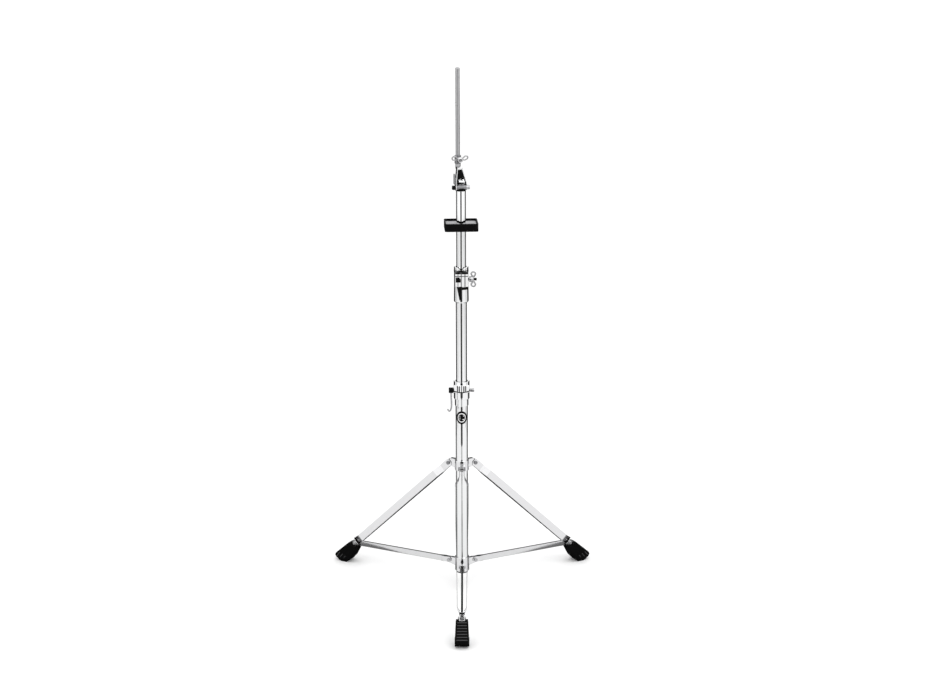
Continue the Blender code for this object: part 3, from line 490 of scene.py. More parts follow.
def make_base_clamp():
    low, high = heights("base_clamp")
    r = radius_of("base_clamp")
    bore = radius_of("base_tube") + CLEARANCE
    bolt = centre("base_clamp_bolt") - AXIS
    neck, step, seam = 15.9 * MM, 466 * MM, 485 * MM
    profile = fillet([(r, high), (r, seam + 1.5 * MM), (neck + 0.6 * MM, seam + 0.8 * MM),
                      (neck + 0.6 * MM, seam - 0.8 * MM), (r, seam - 1.5 * MM), (r, step), (neck, step),
                      (neck, low), (bore - 1 * MM, low), (bore - 1 * MM, high)], 1.4 * MM, 3, skip=(8, 9))
    clamp = lathed(profile, 96)
    lugs = pillow_lugs(-r, r, -26.5 * MM, seam + 1.8 * MM, high - 4.5 * MM)
    body = carve(clamp, [lugs], "UNION")
    cutters = [drill(bore, low - 5 * MM, high + 5 * MM),
               block((-0.9 * MM, -30 * MM, seam - 1.5 * MM), (0.9 * MM, -10 * MM, high + 5 * MM)),
               rod_between((-30 * MM, bolt.y, bolt.z), (30 * MM, bolt.y, bolt.z), 3.3 * MM)]
    for side in (-1, 1):
        x = 5.2 * MM * side
        cutters.append(block((x - 1.3 * MM, -30 * MM, seam + 3 * MM),
                             (x + 1.3 * MM, -25 * MM, high - 6 * MM)))
    finish_piece(carve(body, cutters), "base_clamp_fine", COLUMN, "chrome", "base", ["base_clamp"],
                 weighted=True)
    # Black pieces of painted shade in the seam groove, the two lug slots and the slit, and two slanted bands
    # of painted dark reflection on the lug fronts.
    seam_shade = lathed(tube_profile(neck, r - 0.5 * MM, seam - 1.2 * MM, seam + 1.2 * MM, 0.2 * MM), 96)
    for side in (-1, 1):
        x = 5.2 * MM * side
        block((x - 1.25 * MM, -25.9 * MM, seam + 3.2 * MM), (x + 1.25 * MM, -24.8 * MM, high - 6.2 * MM),
              0.2 * MM,
              2, seam_shade)
    block((-0.85 * MM, -22.5 * MM, seam + 2 * MM), (0.85 * MM, -15.5 * MM, high - 7 * MM), 0.1 * MM, 2,
          seam_shade)
    for side in (-1, 1):
        prism([(side * 0.9 * MM, seam + 0.2 * MM), (side * 0.9 * MM, seam + 2.0 * MM),
               (side * (r - 1 * MM), seam + 6.0 * MM), (side * (r - 1 * MM), seam + 4.2 * MM)], "Y",
              -26.9 * MM, -24.5 * MM, 0.1 * MM, 1, seam_shade)
    finish_piece(seam_shade, "base_clamp_seam_shade", COLUMN, "dark_steel", "base")


def make_base_clamp_fittings():
    bolt = centre("base_clamp_bolt") - AXIS
    half = radius_of("base_clamp_bolt")
    rod = rod_between((-half, bolt.y, bolt.z), (half, bolt.y, bolt.z), 3.0 * MM, 40, rim=0.6 * MM)
    finish_piece(rod, "base_clamp_bolt_fine", COLUMN, "dark_steel", "base", ["base_clamp_bolt"])
    low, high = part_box("base_clamp_nut")
    nut_at = Matrix.Translation((0, bolt.y, bolt.z)) @ X_AXIS
    nut = lathed(fillet([(3.2 * MM, low.x - AXIS.x), (4.4 * MM, low.x - AXIS.x),
                         (4.4 * MM, high.x - AXIS.x),
                         (3.2 * MM, high.x - AXIS.x)], 0.7 * MM, 3), 48, None, nut_at)
    finish_piece(nut, "base_clamp_nut_fine", COLUMN, "steel", "base", ["base_clamp_nut"])
    low, high = heights("base_clamp_bushing")
    bushing = lathed(tube_profile(radius_of("middle_tube") + CLEARANCE, radius_of("base_clamp_bushing"),
                                  low, high), 96)
    finish_piece(bushing, "base_clamp_bushing_fine", COLUMN, "black_plastic", "base",
                 ["base_clamp_bushing"])


def make_lever():
    hub = centre("base_clamp_lever_hub")
    where = Matrix.Translation(hub)
    profile = fillet(mm((3.2, -5.5), (6.5, -5.5), (6.5, 5.5), (3.2, 5.5)), 1.4 * MM, 4)
    finish_piece(lathed(profile, 64, None, X_AXIS), "lever_hub_fine", where, "dark_steel", "clamp_lever",
                 ["base_clamp_lever_hub"])
    route = [(0.5, -6.0), (0.4, -11), (0.4, -18), (0.9, -28), (0.8, -38), (-0.6, -46), (-3.4, -50),
             (-6.6, -48.5),
             (-7.8, -44.5)]
    path = smooth_path([(x * MM, 0, z * MM) for x, z in route], 6)
    last = len(path) - 1
    radii = [(2.1 * (1.15 - 0.35 * i / last)) * MM for i in range(last + 1)]
    radii[-1] *= 0.55
    finish_piece(swept(path, radii, 24), "lever_arm_fine", where, "steel", "clamp_lever",
                 ["base_clamp_lever"])


make_base_clamp()
make_base_clamp_fittings()
make_lever()


# ---------------------------------------------------------------- height clamp

def make_height_clamp():
    low, high = heights("height_clamp")
    r, foot_r = 16.5 * MM, 17.0 * MM
    bore = radius_of("middle_tube") + CLEARANCE
    bolt = centre("height_clamp_bolt") - AXIS
    block_low, block_high = 735 * MM, 769 * MM
    profile = fillet([(r, high), (r, block_low), (foot_r, low + 8 * MM), (foot_r, low + 3 * MM),
                      (bore + 0.8 * MM, low), (bore - 1 * MM, low), (bore - 1 * MM, high)], 1.6 * MM, 4,
                     skip=(5, 6))
    clamp = lathed(profile, 96)
    lugs = pillow_lugs(-14 * MM, r, -25 * MM, block_low, block_high)
    body = carve(clamp, [lugs], "UNION")
    notch = prism([(-9 * MM, high + 1 * MM), (9 * MM, high + 1 * MM), (0, high - 6.5 * MM)], "Y", -30 * MM,
                  -5 * MM)
    wedge = prism([(-10.5 * MM, block_low - 0.5 * MM), (-0.6 * MM, block_low - 0.5 * MM),
                   (0.5 * MM, low + 8 * MM),
                   (-4.0 * MM, low + 8 * MM)], "Y", -30 * MM, -5 * MM)
    cutters = [drill(bore, low - 5 * MM, high + 5 * MM),
               block((-0.9 * MM, -30 * MM, block_low - 4 * MM), (0.9 * MM, -10 * MM, high + 5 * MM)),
               rod_between((-30 * MM, bolt.y, bolt.z), (30 * MM, bolt.y, bolt.z), 3.3 * MM),
               block((-12.4 * MM, -30 * MM, bolt.z - 5 * MM), (-3.2 * MM, -15.6 * MM, bolt.z + 5 * MM)),
               notch, wedge]
    finish_piece(carve(body, cutters), "height_clamp_fine", COLUMN, "chrome", "middle_section",
                 ["height_clamp"],
                 weighted=True)
    # Black pieces of painted shade and painted reflection: a ring of painted shadow under the top rim, a
    # liner of painted shade behind the wedge slot, a block of painted shade in the bolt pocket, and patches
    # of painted dark reflection on the lug fronts and the sleeve.
    trim = lathed(tube_profile(bore + 0.2 * MM, r + 0.25 * MM, 765.4 * MM, 770.2 * MM, 0.3 * MM), 96)
    lathed(tube_profile(bore + 0.05 * MM, bore + 0.9 * MM, low + 4 * MM, block_low + 2 * MM, 0.2 * MM), 96,
           trim)
    block((-11.8 * MM, -17.6 * MM, bolt.z - 4.6 * MM), (-8.4 * MM, -15.5 * MM, bolt.z + 4.6 * MM), 0.2 * MM,
          2, trim)
    for x0, x1 in ((-13.2 * MM, -1.0 * MM), (1.0 * MM, r - 0.9 * MM)):
        block((x0, -25.25 * MM, 764.5 * MM), (x1, -20 * MM, 769.2 * MM), 0.4 * MM, 2, trim)
        block((x0, -25.2 * MM, 758.7 * MM), (x1, -23 * MM, 760.0 * MM), 0.1 * MM, 1, trim)
    block(*mm((-12.4, -25.2, 745.4), (-1.2, -23, 753.6)), 0.4 * MM, 2, trim)
    prism(arc(17.15 * MM, -86, -18, 14) + arc(16.2 * MM, -18, -86, 14), "Z", 726.0 * MM, 732.4 * MM,
          0.1 * MM, 1, trim)
    finish_piece(trim, "height_clamp_trim", COLUMN, "dark_steel", "middle_section")


def loop_wings(bm, hub_r, reach, middle, loop_r, wire, facing, where, rise=0.0):
    """Two teardrop wire wings on a hub along Z; facing turns their plane away from the hub's axis."""
    for side in (-1, 1):
        points = []
        for angle in range(-150, 151, 25):
            a = math.radians(angle)
            points.append((reach + loop_r * math.cos(a), loop_r * math.sin(a)))
        start, end = (hub_r * 0.7, -loop_r * 0.42), (hub_r * 0.7, loop_r * 0.42)
        flat = [start, *points, end]
        path = smooth_path([(side * u, v * math.sin(facing) + rise * min(1.0, u / reach),
                             middle + v * math.cos(facing)) for u, v in flat], 4)
        swept(path, wire, 16, False, bm, where)
    return bm


def make_height_clamp_fittings():
    bolt = centre("height_clamp_bolt") - AXIS
    low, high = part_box("height_clamp_bolt")
    x0, x1 = low.x - AXIS.x, high.x - AXIS.x
    rod = rod_between((x0 + 1 * MM, bolt.y, bolt.z), (x1, bolt.y, bolt.z), 3.0 * MM, 40, rim=0.6 * MM)
    head = [(3.7 * MM * math.cos(math.radians(60 * k)),
             3.7 * MM * math.sin(math.radians(60 * k))) for k in range(6)]
    prism(head, "X", x0, x0 + 7 * MM, 0.5 * MM, 2, rod, Matrix.Translation((0, bolt.y, bolt.z)))
    finish_piece(rod, "height_clamp_bolt_fine", COLUMN, "dark_steel", "middle_section",
                 ["height_clamp_bolt"])
    low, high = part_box("height_wing_nut")
    start = Matrix.Translation((low.x - AXIS.x, bolt.y, bolt.z)) @ X_AXIS
    nut = lathed(fillet(mm((3.2, 0), (6.8, 0), (6.8, 4), (5.6, 10.5), (3.2, 10.5)),
                        1.0 * MM, 3), 64, None, start)
    finish_piece(nut, "height_wing_nut_fine", COLUMN, "steel", "height_nut", ["height_wing_nut"])
    loops = loop_wings(bmesh.new(), 6.8 * MM, 12.2 * MM, 9.6 * MM, 4.7 * MM, 1.8 * MM, 0.0, start)
    finish_piece(loops, "height_wing_nut_loops", COLUMN, "steel", "height_nut")
    low, high = heights("height_clamp_bushing")
    bushing = lathed(tube_profile(radius_of("upper_tube") + CLEARANCE, radius_of("height_clamp_bushing"),
                                  low, high), 96)
    finish_piece(bushing, "height_clamp_bushing_fine", COLUMN, "black_plastic", "middle_section",
                 ["height_clamp_bushing"])


make_height_clamp()
make_height_clamp_fittings()


# ---------------------------------------------------------------- tray

def rounded_rect(half_x, half_y, corner, count=96):
    """Points round a rounded rectangle, one for each of count even directions."""
    points = []
    for k in range(count):
        a = 2 * math.pi * (k + 0.5) / count
        c, s = math.cos(a), math.sin(a)
        low, high = 0.0, 2 * (half_x + half_y)
        for _ in range(40):
            t = (low + high) / 2
            dx, dy = max(0.0, abs(c * t) - half_x + corner), max(0.0, abs(s * t) - half_y + corner)
            inside = math.hypot(dx, dy) <= corner
            low, high = (t, high) if inside else (low, t)
        points.append((c * low, s * low))
    return points


def stacked(loops):
    """A closed skin through loops of (points, z) that turns back on itself."""
    bm = bmesh.new()
    rings = [[bm.verts.new((x, y, z)) for x, y in points] for points, z in loops]
    for first, second in zip(rings, rings[1:] + rings[:1]):
        join_rings(bm, first, second)
    return bm


def make_tray():
    low, high = heights("tray")
    height = high - low
    where = turned(AXIS + Vector((0, 0, low)), TRAY_YAW)
    hx, hy, wall, recess, floor = 37.5 * MM, 32 * MM, 3 * MM, 7 * MM, 3 * MM
    bore = radius_of("upper_tube") + CLEARANCE
    sleeve = bore + 4.2 * MM

    def loop(inset, corner=4.5 * MM):
        return rounded_rect(hx - inset, hy - inset, max(0.6 * MM, corner - inset))

    def circle(r):
        return [(r * math.cos(2 * math.pi * (k + 0.5) / 96), r * math.sin(2 * math.pi * (k + 0.5) / 96))
                for k in range(96)]

    e = 0.7 * MM
    top, bed, under = height, height - recess, height - recess - floor
    loops = [(loop(0), e), (loop(0), top - e), (loop(e * 0.3), top - e * 0.3), (loop(e), top),
             (loop(wall - e), top), (loop(wall - e * 0.3), top - e * 0.3), (loop(wall), top - e),
             (loop(wall), bed),
             (circle(bore), bed), (circle(bore), 0.3 * MM), (circle(bore + 0.3 * MM), 0),
             (circle(sleeve - 0.3 * MM), 0),
             (circle(sleeve), 0.3 * MM), (circle(sleeve), under), (loop(wall), under),
             (loop(wall), e * 0.5),
             (loop(wall - 0.3 * MM), 0), (loop(e), 0), (loop(e * 0.3), e * 0.3)]
    tray = stacked(loops)
    block((-5.5 * MM, bore + 1.5 * MM, 0.5 * MM), (5.5 * MM, hy - 1.5 * MM, under + 1 * MM), 0.4 * MM, 2,
          tray)
    finish_piece(tray, "tray_fine", where, "black_plastic", "tray_assembly", ["tray"], weighted=True)
    mat_low, mat_high = heights("tray_mat")
    z0, z1, gap = mat_low - low, mat_high - low, 0.3 * MM
    mat = stacked([(loop(wall + gap), z0), (loop(wall + gap), z1 - 0.3 * MM),
                   (loop(wall + gap + 0.3 * MM), z1),
                   (circle(bore + 0.6 * MM), z1), (circle(bore + 0.3 * MM), z1 - 0.3 * MM),
                   (circle(bore + 0.3 * MM), z0)])
    cutters = []
    for side in (-1, 1):
        painted_shade = fillet([(14 * MM * side, -1.3 * MM), (30 * MM * side, -1.3 * MM), (30 * MM * side, 1.3 * MM),
                       (14 * MM * side, 1.3 * MM)], 1.2 * MM, 4)
        cutters.append(prism(painted_shade, "Z", z0 - 2 * MM, z1 + 2 * MM))
    finish_piece(carve(mat, cutters), "tray_mat_fine", where, "grey_mat", "tray_assembly", ["tray_mat"])
    screw_at = where @ Matrix.Translation((0, 0, 4.5 * MM)) @ Y_AXIS
    head = hy + 1 * MM
    end, knob_r, shank_r, tip = head + 8 * MM, 7.4 * MM, 2 * MM, 11.6 * MM
    screw = lathed(solid_profile([(3 * MM, end), (knob_r, end), (knob_r, head), (shank_r, head),
                                  (shank_r, tip)],
                                 0.9 * MM), 48)
    for k in range(12):
        a = math.radians(30 * k)
        x, y = 7.2 * MM * math.cos(a), 7.2 * MM * math.sin(a)
        rod_between((x, y, head + 1.2 * MM), (x, y, head + 6.8 * MM), 0.55 * MM, 12, screw, 0.3 * MM)
    finish_piece(screw, "tray_screw_fine", screw_at, "black_plastic", "tray_knob", ["tray_screw"])


make_tray()


# ---------------------------------------------------------------- tilter and rod

def toothed_lobe(bm, low, high, inner_r, outer_r, start=42.0, end=138.0, steps=64):
    """A rounded sector about X with shallow teeth round its rim."""
    teeth, tooth_depth = 8, 0.55 * MM
    section = fillet([(low, inner_r), (low, outer_r), (high, outer_r), (high, inner_r)], 1.5 * MM, 5,
                     skip=(0, 3))
    rows = []
    for k in range(steps + 1):
        share = k / steps
        angle = math.radians(start + (end - start) * share)
        dip = tooth_depth * (1 - math.cos(2 * math.pi * teeth * share)) / 2
        reaches = [(x, r - dip * (r - inner_r) / (outer_r - inner_r)) for x, r in section]
        rows.append([bm.verts.new((x, math.cos(angle) * reach, math.sin(angle) * reach)) for x,
                     reach in reaches])
    for first, second in zip(rows, rows[1:]):
        join_rings(bm, first, second)
    bm.faces.new(rows[0][::-1])
    bm.faces.new(rows[-1])


def make_tilter():
    """The tilter in the frame of its bolt, with X along the bolt; the frame is handed back for the rod."""
    where = turned(Vector((AXIS.x, AXIS.y, centre("tilter_nut").z)), TILTER_YAW)
    foot_top = -7.5 * MM
    stem = radius_of("upper_tube") - 1.5 * MM
    barrel = lathed(fillet(mm((2.8, -11), (7, -11), (7, 11), (2.8, 11)), 1.2 * MM, 4), 64, None, X_AXIS)
    finish_piece(barrel, "tilter_barrel", where, "grey_steel", "tilter_foot", ["tilter_base"])
    # The cap's black is painted shade: it stands for the dark underside of the barrel.
    cap_r, seat = 10.9 * MM, foot_top + CLEARANCE
    shade_cap = lathed(solid_profile([(6 * MM, foot_top + 5.4 * MM), (10.2 * MM, foot_top + 4.6 * MM),
                                (cap_r, foot_top + 2 * MM), (cap_r, seat), (stem, seat),
                                (stem, foot_top - 25 * MM)], 1.2 * MM, 4), 64)
    finish_piece(shade_cap, "tilter_shade_cap", where, "black_plastic", "tilter_foot")

    shift, r = -1.2 * MM, 21 * MM
    ratchet = bmesh.new()
    for low, high in ((-6.5 * MM, -0.9 * MM), (0.9 * MM, 6.5 * MM)):
        toothed_lobe(ratchet, shift + low, shift + high, 7.3 * MM, r)
    toothed_lobe(ratchet, shift - 1.0 * MM, shift + 1.0 * MM, 7.3 * MM, r - 1.6 * MM)
    finish_piece(ratchet, "tilter_ratchet_fine", where, "chrome", "tilter_foot", ["tilter_ratchet"])
    dots = bmesh.new()
    for x in (-7.2 * MM, -0.9 * MM, 5.4 * MM):
        rod_between((x, -4.5 * MM, 8.6 * MM), (x, -8.6 * MM, 8.6 * MM), 1.3 * MM, 24, dots)
    finish_piece(dots, "tilter_ratchet_rivets", where, "dark_steel", "tilter_foot")

    inner, plate = 11.3 * MM, 1.8 * MM
    outer = inner + plate
    left, right, knee, crown, top = -9.9 * MM, 2.7 * MM, 8 * MM, 42 * MM, 46 * MM
    yoke = bmesh.new()
    for side, lean in ((-1, (left, left + plate)), (1, (right - plate, right))):
        edge = (inner, outer) if side > 0 else (-outer, -inner)
        lathed(fillet([(2.8 * MM, edge[0]), (6.8 * MM, edge[0]), (6.8 * MM, edge[1]), (2.8 * MM, edge[1])],
                      0.4 * MM, 2),
               48, yoke, X_AXIS)
        outline = [(edge[0], 0), (edge[1], 0), (edge[1], knee), (lean[1], crown), (lean[1], top - 0.5 * MM),
                   (lean[0], top - 0.5 * MM), (lean[0], crown), (edge[0], knee)]
        prism(outline, "Y", -6 * MM, 6 * MM, 0.5 * MM, 3, yoke)
    block((left, -6.5 * MM, crown - 1 * MM), (right, 6.5 * MM, top), 1.2 * MM, 4, yoke)
    block((left, 0, crown - 0.8 * MM), (0.4 * MM, 10.5 * MM, top - 0.1 * MM), 0.8 * MM, 3, yoke)
    finish_piece(yoke, "tilter_yoke_fine", where, "chrome", "tilter_head", ["tilter_yoke"], weighted=True)

    pawl_low, pawl_high = r + 0.6 * MM, crown - 1.4 * MM
    pawl = prism([(-9.4 * MM, pawl_low), (6.2 * MM, pawl_low), (0.7 * MM, pawl_high),
                  (-7.7 * MM, pawl_high)], "Y",
                 -5.6 * MM, 5.6 * MM, 0.6 * MM, 3)
    finish_piece(pawl, "tilter_pawl_fine", where, "black_plastic", "tilter_head", ["tilter_pawl"],
                 weighted=True)
    liner = bmesh.new()
    for side in (-1, 1):
        low, high = (-11.1, -9.6) if side < 0 else (9.6, 11.1)
        top_low, top_high = (-9.9, -8.4) if side < 0 else (4.6, 6.2)
        prism([(low * MM, 7 * MM), (high * MM, 7 * MM), (top_high * MM, 30 * MM), (top_low * MM, 30 * MM)],
              "Y",
              -5.4 * MM, 5.4 * MM, 0.3 * MM, 2, liner)
    finish_piece(liner, "tilter_liners", where, "black_plastic", "tilter_head", weighted=True)
    bar = block((-outer - 2.6 * MM, -2.5 * MM, 7.2 * MM), (-outer - 0.3 * MM, 6 * MM, 31 * MM), 0.8 * MM, 3)
    finish_piece(bar, "tilter_release_bar_fine", where, "steel", "tilter_head", ["tilter_release_bar"],
                 weighted=True)

    face = outer + 0.3 * MM
    bolt = rod_between((-face - 3 * MM, 0, 0), (18.5 * MM, 0, 0), 2.5 * MM, 32, rim=0.5 * MM)
    block((-20 * MM, -4.4 * MM, -4.4 * MM), (-face, 4.4 * MM, 4.4 * MM), 0.9 * MM, 3, bolt)
    finish_piece(bolt, "tilter_bolt_fine", where, "dark_steel", "tilter_head", ["tilter_bolt"])
    nut = lathed(fillet([(2.8 * MM, face), (5 * MM, face), (5 * MM, 19.8 * MM), (2.8 * MM, 19.8 * MM)],
                        0.8 * MM, 3), 48,
                 None, X_AXIS)
    finish_piece(nut, "tilter_nut_fine", where, "steel", "tilter_head", ["tilter_nut"])
    return where


def make_rod_and_holder(where):
    at = where @ Matrix.Translation((-5.6 * MM, 5 * MM, 0))
    neck, shoulder, body_r, top = 46.3 * MM, 53 * MM, 7.2 * MM, 72 * MM
    boss_z, foot = 64 * MM, 56.0 * MM
    rod_r = 4.75 * MM
    holder = lathed(solid_profile([(4 * MM, top), (body_r, top), (body_r, shoulder + 1 * MM),
                                   (4.8 * MM, shoulder - 1.5 * MM), (4.8 * MM, neck), (2 * MM, neck)],
                                  0.9 * MM), 64)
    boss = rod_between((0, 0, boss_z), (0, -14 * MM, boss_z), 6 * MM, 48, rim=0.8 * MM)
    holder = carve(carve(holder, [boss], "UNION"), [drill(rod_r + CLEARANCE, foot, top + 5 * MM, 48)])
    rod_between((0, -10 * MM, boss_z), (0, -25.5 * MM, boss_z), 2.5 * MM, 32, holder, 0.5 * MM)
    lock = lathed(fillet([(4.9 * MM, neck + 0.4 * MM), (6.6 * MM, neck + 0.4 * MM),
                          (6.2 * MM, shoulder + 1.2 * MM),
                          (4.9 * MM, shoulder + 1.2 * MM)], 0.6 * MM, 3), 6)
    rod_between((-2.2 * MM, -5 * MM, neck + 1.6 * MM), (-2.2 * MM, -7.2 * MM, neck + 1.6 * MM), 1.6 * MM,
                24, lock)
    finish_piece(lock, "rod_holder_lock", at, "steel", "tilter_head", sharp=25)
    finish_piece(holder, "rod_holder_fine", at, "grey_steel", "tilter_head", ["rod_holder"])

    nut_at = at @ Matrix.Translation((0, -14.4 * MM, boss_z)) @ Matrix.Rotation(math.pi / 2, 4, "X")
    nut = lathed(fillet(mm((2.8, 0), (6.3, 0), (6.3, 5), (5.2, 9.5), (2.8, 9.5)), 1.0 * MM, 3), 64)
    finish_piece(nut, "rod_wing_nut_fine", nut_at, "leg_chrome", "rod_nut", ["rod_wing_nut"])
    loops = loop_wings(bmesh.new(), 6.3 * MM, 12.4 * MM, 4 * MM, 5.4 * MM, 1.5 * MM, math.radians(60),
                       Matrix.Identity(4), 4.5 * MM)
    finish_piece(loops, "rod_wing_nut_loops", nut_at, "steel", "rod_nut")

    low, high = heights("top_rod")
    base = at.translation.z
    z0, z1 = low - base, high - base
    pitch, knurl_depth, sides = 1.05 * MM, 0.32 * MM, 28
    rows = int((z1 - z0 - 4 * MM) / pitch)
    bm = bmesh.new()
    rings = [ring(bm, [rod_r - (knurl_depth if (k + row) % 2 else 0.0) for k in range(sides)],
                  z0 + 2 * MM + row * pitch) for row in range(rows + 1)]
    for first, second in zip(rings, rings[1:]):
        for k in range(sides):
            j = (k + 1) % sides
            bm.faces.new((first[k], first[j], second[j]))
            bm.faces.new((first[k], second[j], second[k]))
    for rim, collar_z, end_z in ((rings[0], z0 + 0.8 * MM, z0), (rings[-1], z1 - 1.6 * MM, z1)):
        collar = ring(bm, [rod_r * 0.9] * sides, collar_z)
        end = ring(bm, [rod_r * 0.58] * sides, end_z)
        join_rings(bm, rim, collar)
        join_rings(bm, collar, end)
        bm.faces.new(end)
    finish_piece(bm, "top_rod_fine", at, "knurl", "rod", ["top_rod"], sharp=60)


make_rod_and_holder(make_tilter())


# ---------------------------------------------------------------- tripod

def smooth_stations(stations, fine=4 * MM):
    """More stations between the given ones, easing the changes of width."""
    out = []
    for (z0, w0, l0, h0, c0, back), (z1, w1, l1, h1, c1, _) in zip(stations, stations[1:]):
        changes = max(abs(w1 - w0), abs(l1 - l0)) > 1 * MM
        steps = max(1, round((z1 - z0) / fine)) if changes else 1
        for k in range(steps):
            t = k / steps
            ease = t * t * (3 - 2 * t)
            out.append((z0 + (z1 - z0) * t, w0 + (w1 - w0) * ease, l0 + (l1 - l0) * ease,
                        h0 + (h1 - h0) * ease,
                        c0 + (c1 - c0) * t, back))
    out.append(stations[-1])
    return out


def channel(stations, corner, thickness=1.2 * MM, crown_steps=12):
    """Bent sheet along Z, open towards -X, its back slightly crowned.

    Each station is z, half width, lowest and highest x, crown, and whether a back follows. Where no back
    follows, only the two sides are drawn, as a pair of bars.
    """
    bm = bmesh.new()
    rows = []
    for z, half, low, high, crown, _ in stations:
        rho = min(corner, half * 0.45)
        shoulder = high - crown
        side = [(low, -half), (shoulder - rho, -half)] + [
            (shoulder - rho + rho * math.sin(a), -half + rho - rho * math.cos(a))
            for a in (math.radians(15 * k) for k in range(1, 6))]
        flat = half - rho
        back = [(high - crown * (y / flat) ** 2, y)
                for y in (-flat + 2 * flat * k / crown_steps for k in range(crown_steps + 1))]
        section = side + back + [(x, -y) for x, y in reversed(side)]
        rows.append([bm.verts.new((x, y, z)) for x, y in section])
    strips = len(rows[0]) - 1
    for index in range(len(rows) - 1):
        lower, upper = rows[index], rows[index + 1]
        for strip in range(strips):
            if stations[index][5] or strip in (0, strips - 1):
                bm.faces.new((lower[strip], lower[strip + 1], upper[strip + 1], upper[strip]))
    bmesh.ops.delete(bm, geom=[v for v in bm.verts if not v.link_faces], context="VERTS")
    mesh = bpy.data.meshes.new("sheet")
    bm.to_mesh(mesh)
    bm.free()
    obj = linked("sheet", mesh)
    shell = obj.modifiers.new("sheet", "SOLIDIFY")
    shell.thickness = thickness
    shell.offset = -1.0
    shell.use_even_offset = True
    made = evaluated(obj)
    bpy.data.objects.remove(obj, do_unlink=True)
    result = bmesh.new()
    result.from_mesh(made)
    return result


def headed(half_length, head_r, head_h, shank_r=2.5 * MM):
    """A pin along Z with a rounded, dimpled head at each end."""
    head, dimple_z = half_length - head_h, half_length - 0.5 * MM
    rim = [(head_r * 0.5, half_length), (head_r, half_length), (head_r, head), (shank_r, head)]
    upper = [(0, dimple_z), (head_r * 0.42, dimple_z), *fillet(rim, 0.7 * MM, 3, closed=False)]
    return lathed(upper + [(r, -z) for r, z in reversed(upper)], 40)


def make_leg(leg):
    """A leg of two bars with its pins, cap, clip and foot, in a frame from the foot bolt to the top pivot."""
    azimuth = math.radians(LEGS[leg])
    across = Vector((-math.sin(azimuth), math.cos(azimuth), 0))
    foot = centre(f"foot_bolt_{leg}")
    pivot_at = centre(f"leg_pivot_pin_{leg}_a", f"leg_pivot_pin_{leg}_b")
    brace_in = centre(f"brace_pin_{leg}")
    at = along(foot, pivot_at, across)
    top = (pivot_at - foot).length
    body = f"{leg}_leg"
    a, b, crown, foot_crown = -8.7 * MM, 9.2 * MM, 0.3 * MM, 2.2 * MM
    tab, neck = 4.5 * MM, 5.75 * MM
    bars = (a, b, crown, False)
    stations = [(-6.6 * MM, tab, -3.0 * MM, 5.0 * MM, foot_crown, False),
                (-3.0 * MM, tab, -6.4 * MM, 8.4 * MM, foot_crown, False),
                (2.0 * MM, tab, a, b, foot_crown, False), (7.0 * MM, tab, a, b, crown, True),
                (11.5 * MM, tab, *bars), (25 * MM, 11.2 * MM, *bars), (top - 42 * MM, 16.0 * MM, *bars),
                (top - 32 * MM, 10.8 * MM, *bars), (top - 22 * MM, neck, *bars), (top + 2 * MM, neck, *bars),
                (top + 6.8 * MM, neck, -4.0 * MM, 6.0 * MM, crown, False)]
    finish_piece(channel(smooth_stations(stations), 0.6 * MM), f"leg_{leg}_fine", at, "leg_chrome", body,
                 [f"leg_{leg}"], recalc=False)

    pins = bmesh.new()
    for side, turn in (("a", -1), ("b", 1)):
        face = neck + 2.6 * MM
        profile = [(0, face - 0.4 * MM), (1.7 * MM, face - 0.4 * MM)] + fillet(
            [(2.2 * MM, face), (4.4 * MM, face), (4.4 * MM, neck + 0.3 * MM), (2.5 * MM, neck + 0.3 * MM),
             (2.5 * MM, 4.5 * MM)], 0.7 * MM, 3, closed=False) + [(0, 4.5 * MM)]
        outwards = Matrix.Translation((0, 0, top)) @ Matrix.Rotation(turn * math.pi / 2, 4, "X")
        lathed(profile, 40, pins, outwards)
    finish_piece(pins, f"leg_pivot_pins_{leg}_fine", at, "grey_steel", body,
                 [f"leg_pivot_pin_{leg}_a", f"leg_pivot_pin_{leg}_b"])
    finish_piece(headed(8.9 * MM, 4.3 * MM, 2.4 * MM), f"foot_bolt_{leg}_fine", at @ Y_AXIS, "steel", body,
                 [f"foot_bolt_{leg}"])

    # The end cap's black is painted shade: it stands for the dark gap where the bars pinch in above the foot
    # clip.
    inner, outer, back = tab + 0.3 * MM, tab + 1.5 * MM, b + 0.3 * MM
    shade_cap = prism([(a, -outer), (back + 0.9 * MM, -outer), (back + 0.9 * MM, outer), (a, outer), (a, inner),
                 (back, inner),
                 (back, -inner), (a, -inner)], "Z", 7.4 * MM, 10.6 * MM, 0.35 * MM)
    finish_piece(shade_cap, f"leg_end_cap_{leg}_fine", at, "black_plastic", body, [f"leg_end_cap_{leg}"],
                 weighted=True)
    outer = tab + 1.6 * MM
    clip = prism([(-outer, 6.6 * MM), (-outer, -16 * MM), (outer, -16 * MM), (outer, 6.6 * MM),
                  (inner, 6.6 * MM),
                  (inner, -8.4 * MM), (-inner, -8.4 * MM), (-inner, 6.6 * MM)], "X", -6.5 * MM, 6.5 * MM,
                 0.5 * MM, 3)
    finish_piece(clip, f"foot_clip_{leg}_fine", at, "chrome", body, [f"foot_clip_{leg}"], weighted=True)
    make_rubber_foot(leg, at, body, foot, pivot_at)
    make_brace(leg, brace_in, foot, across)


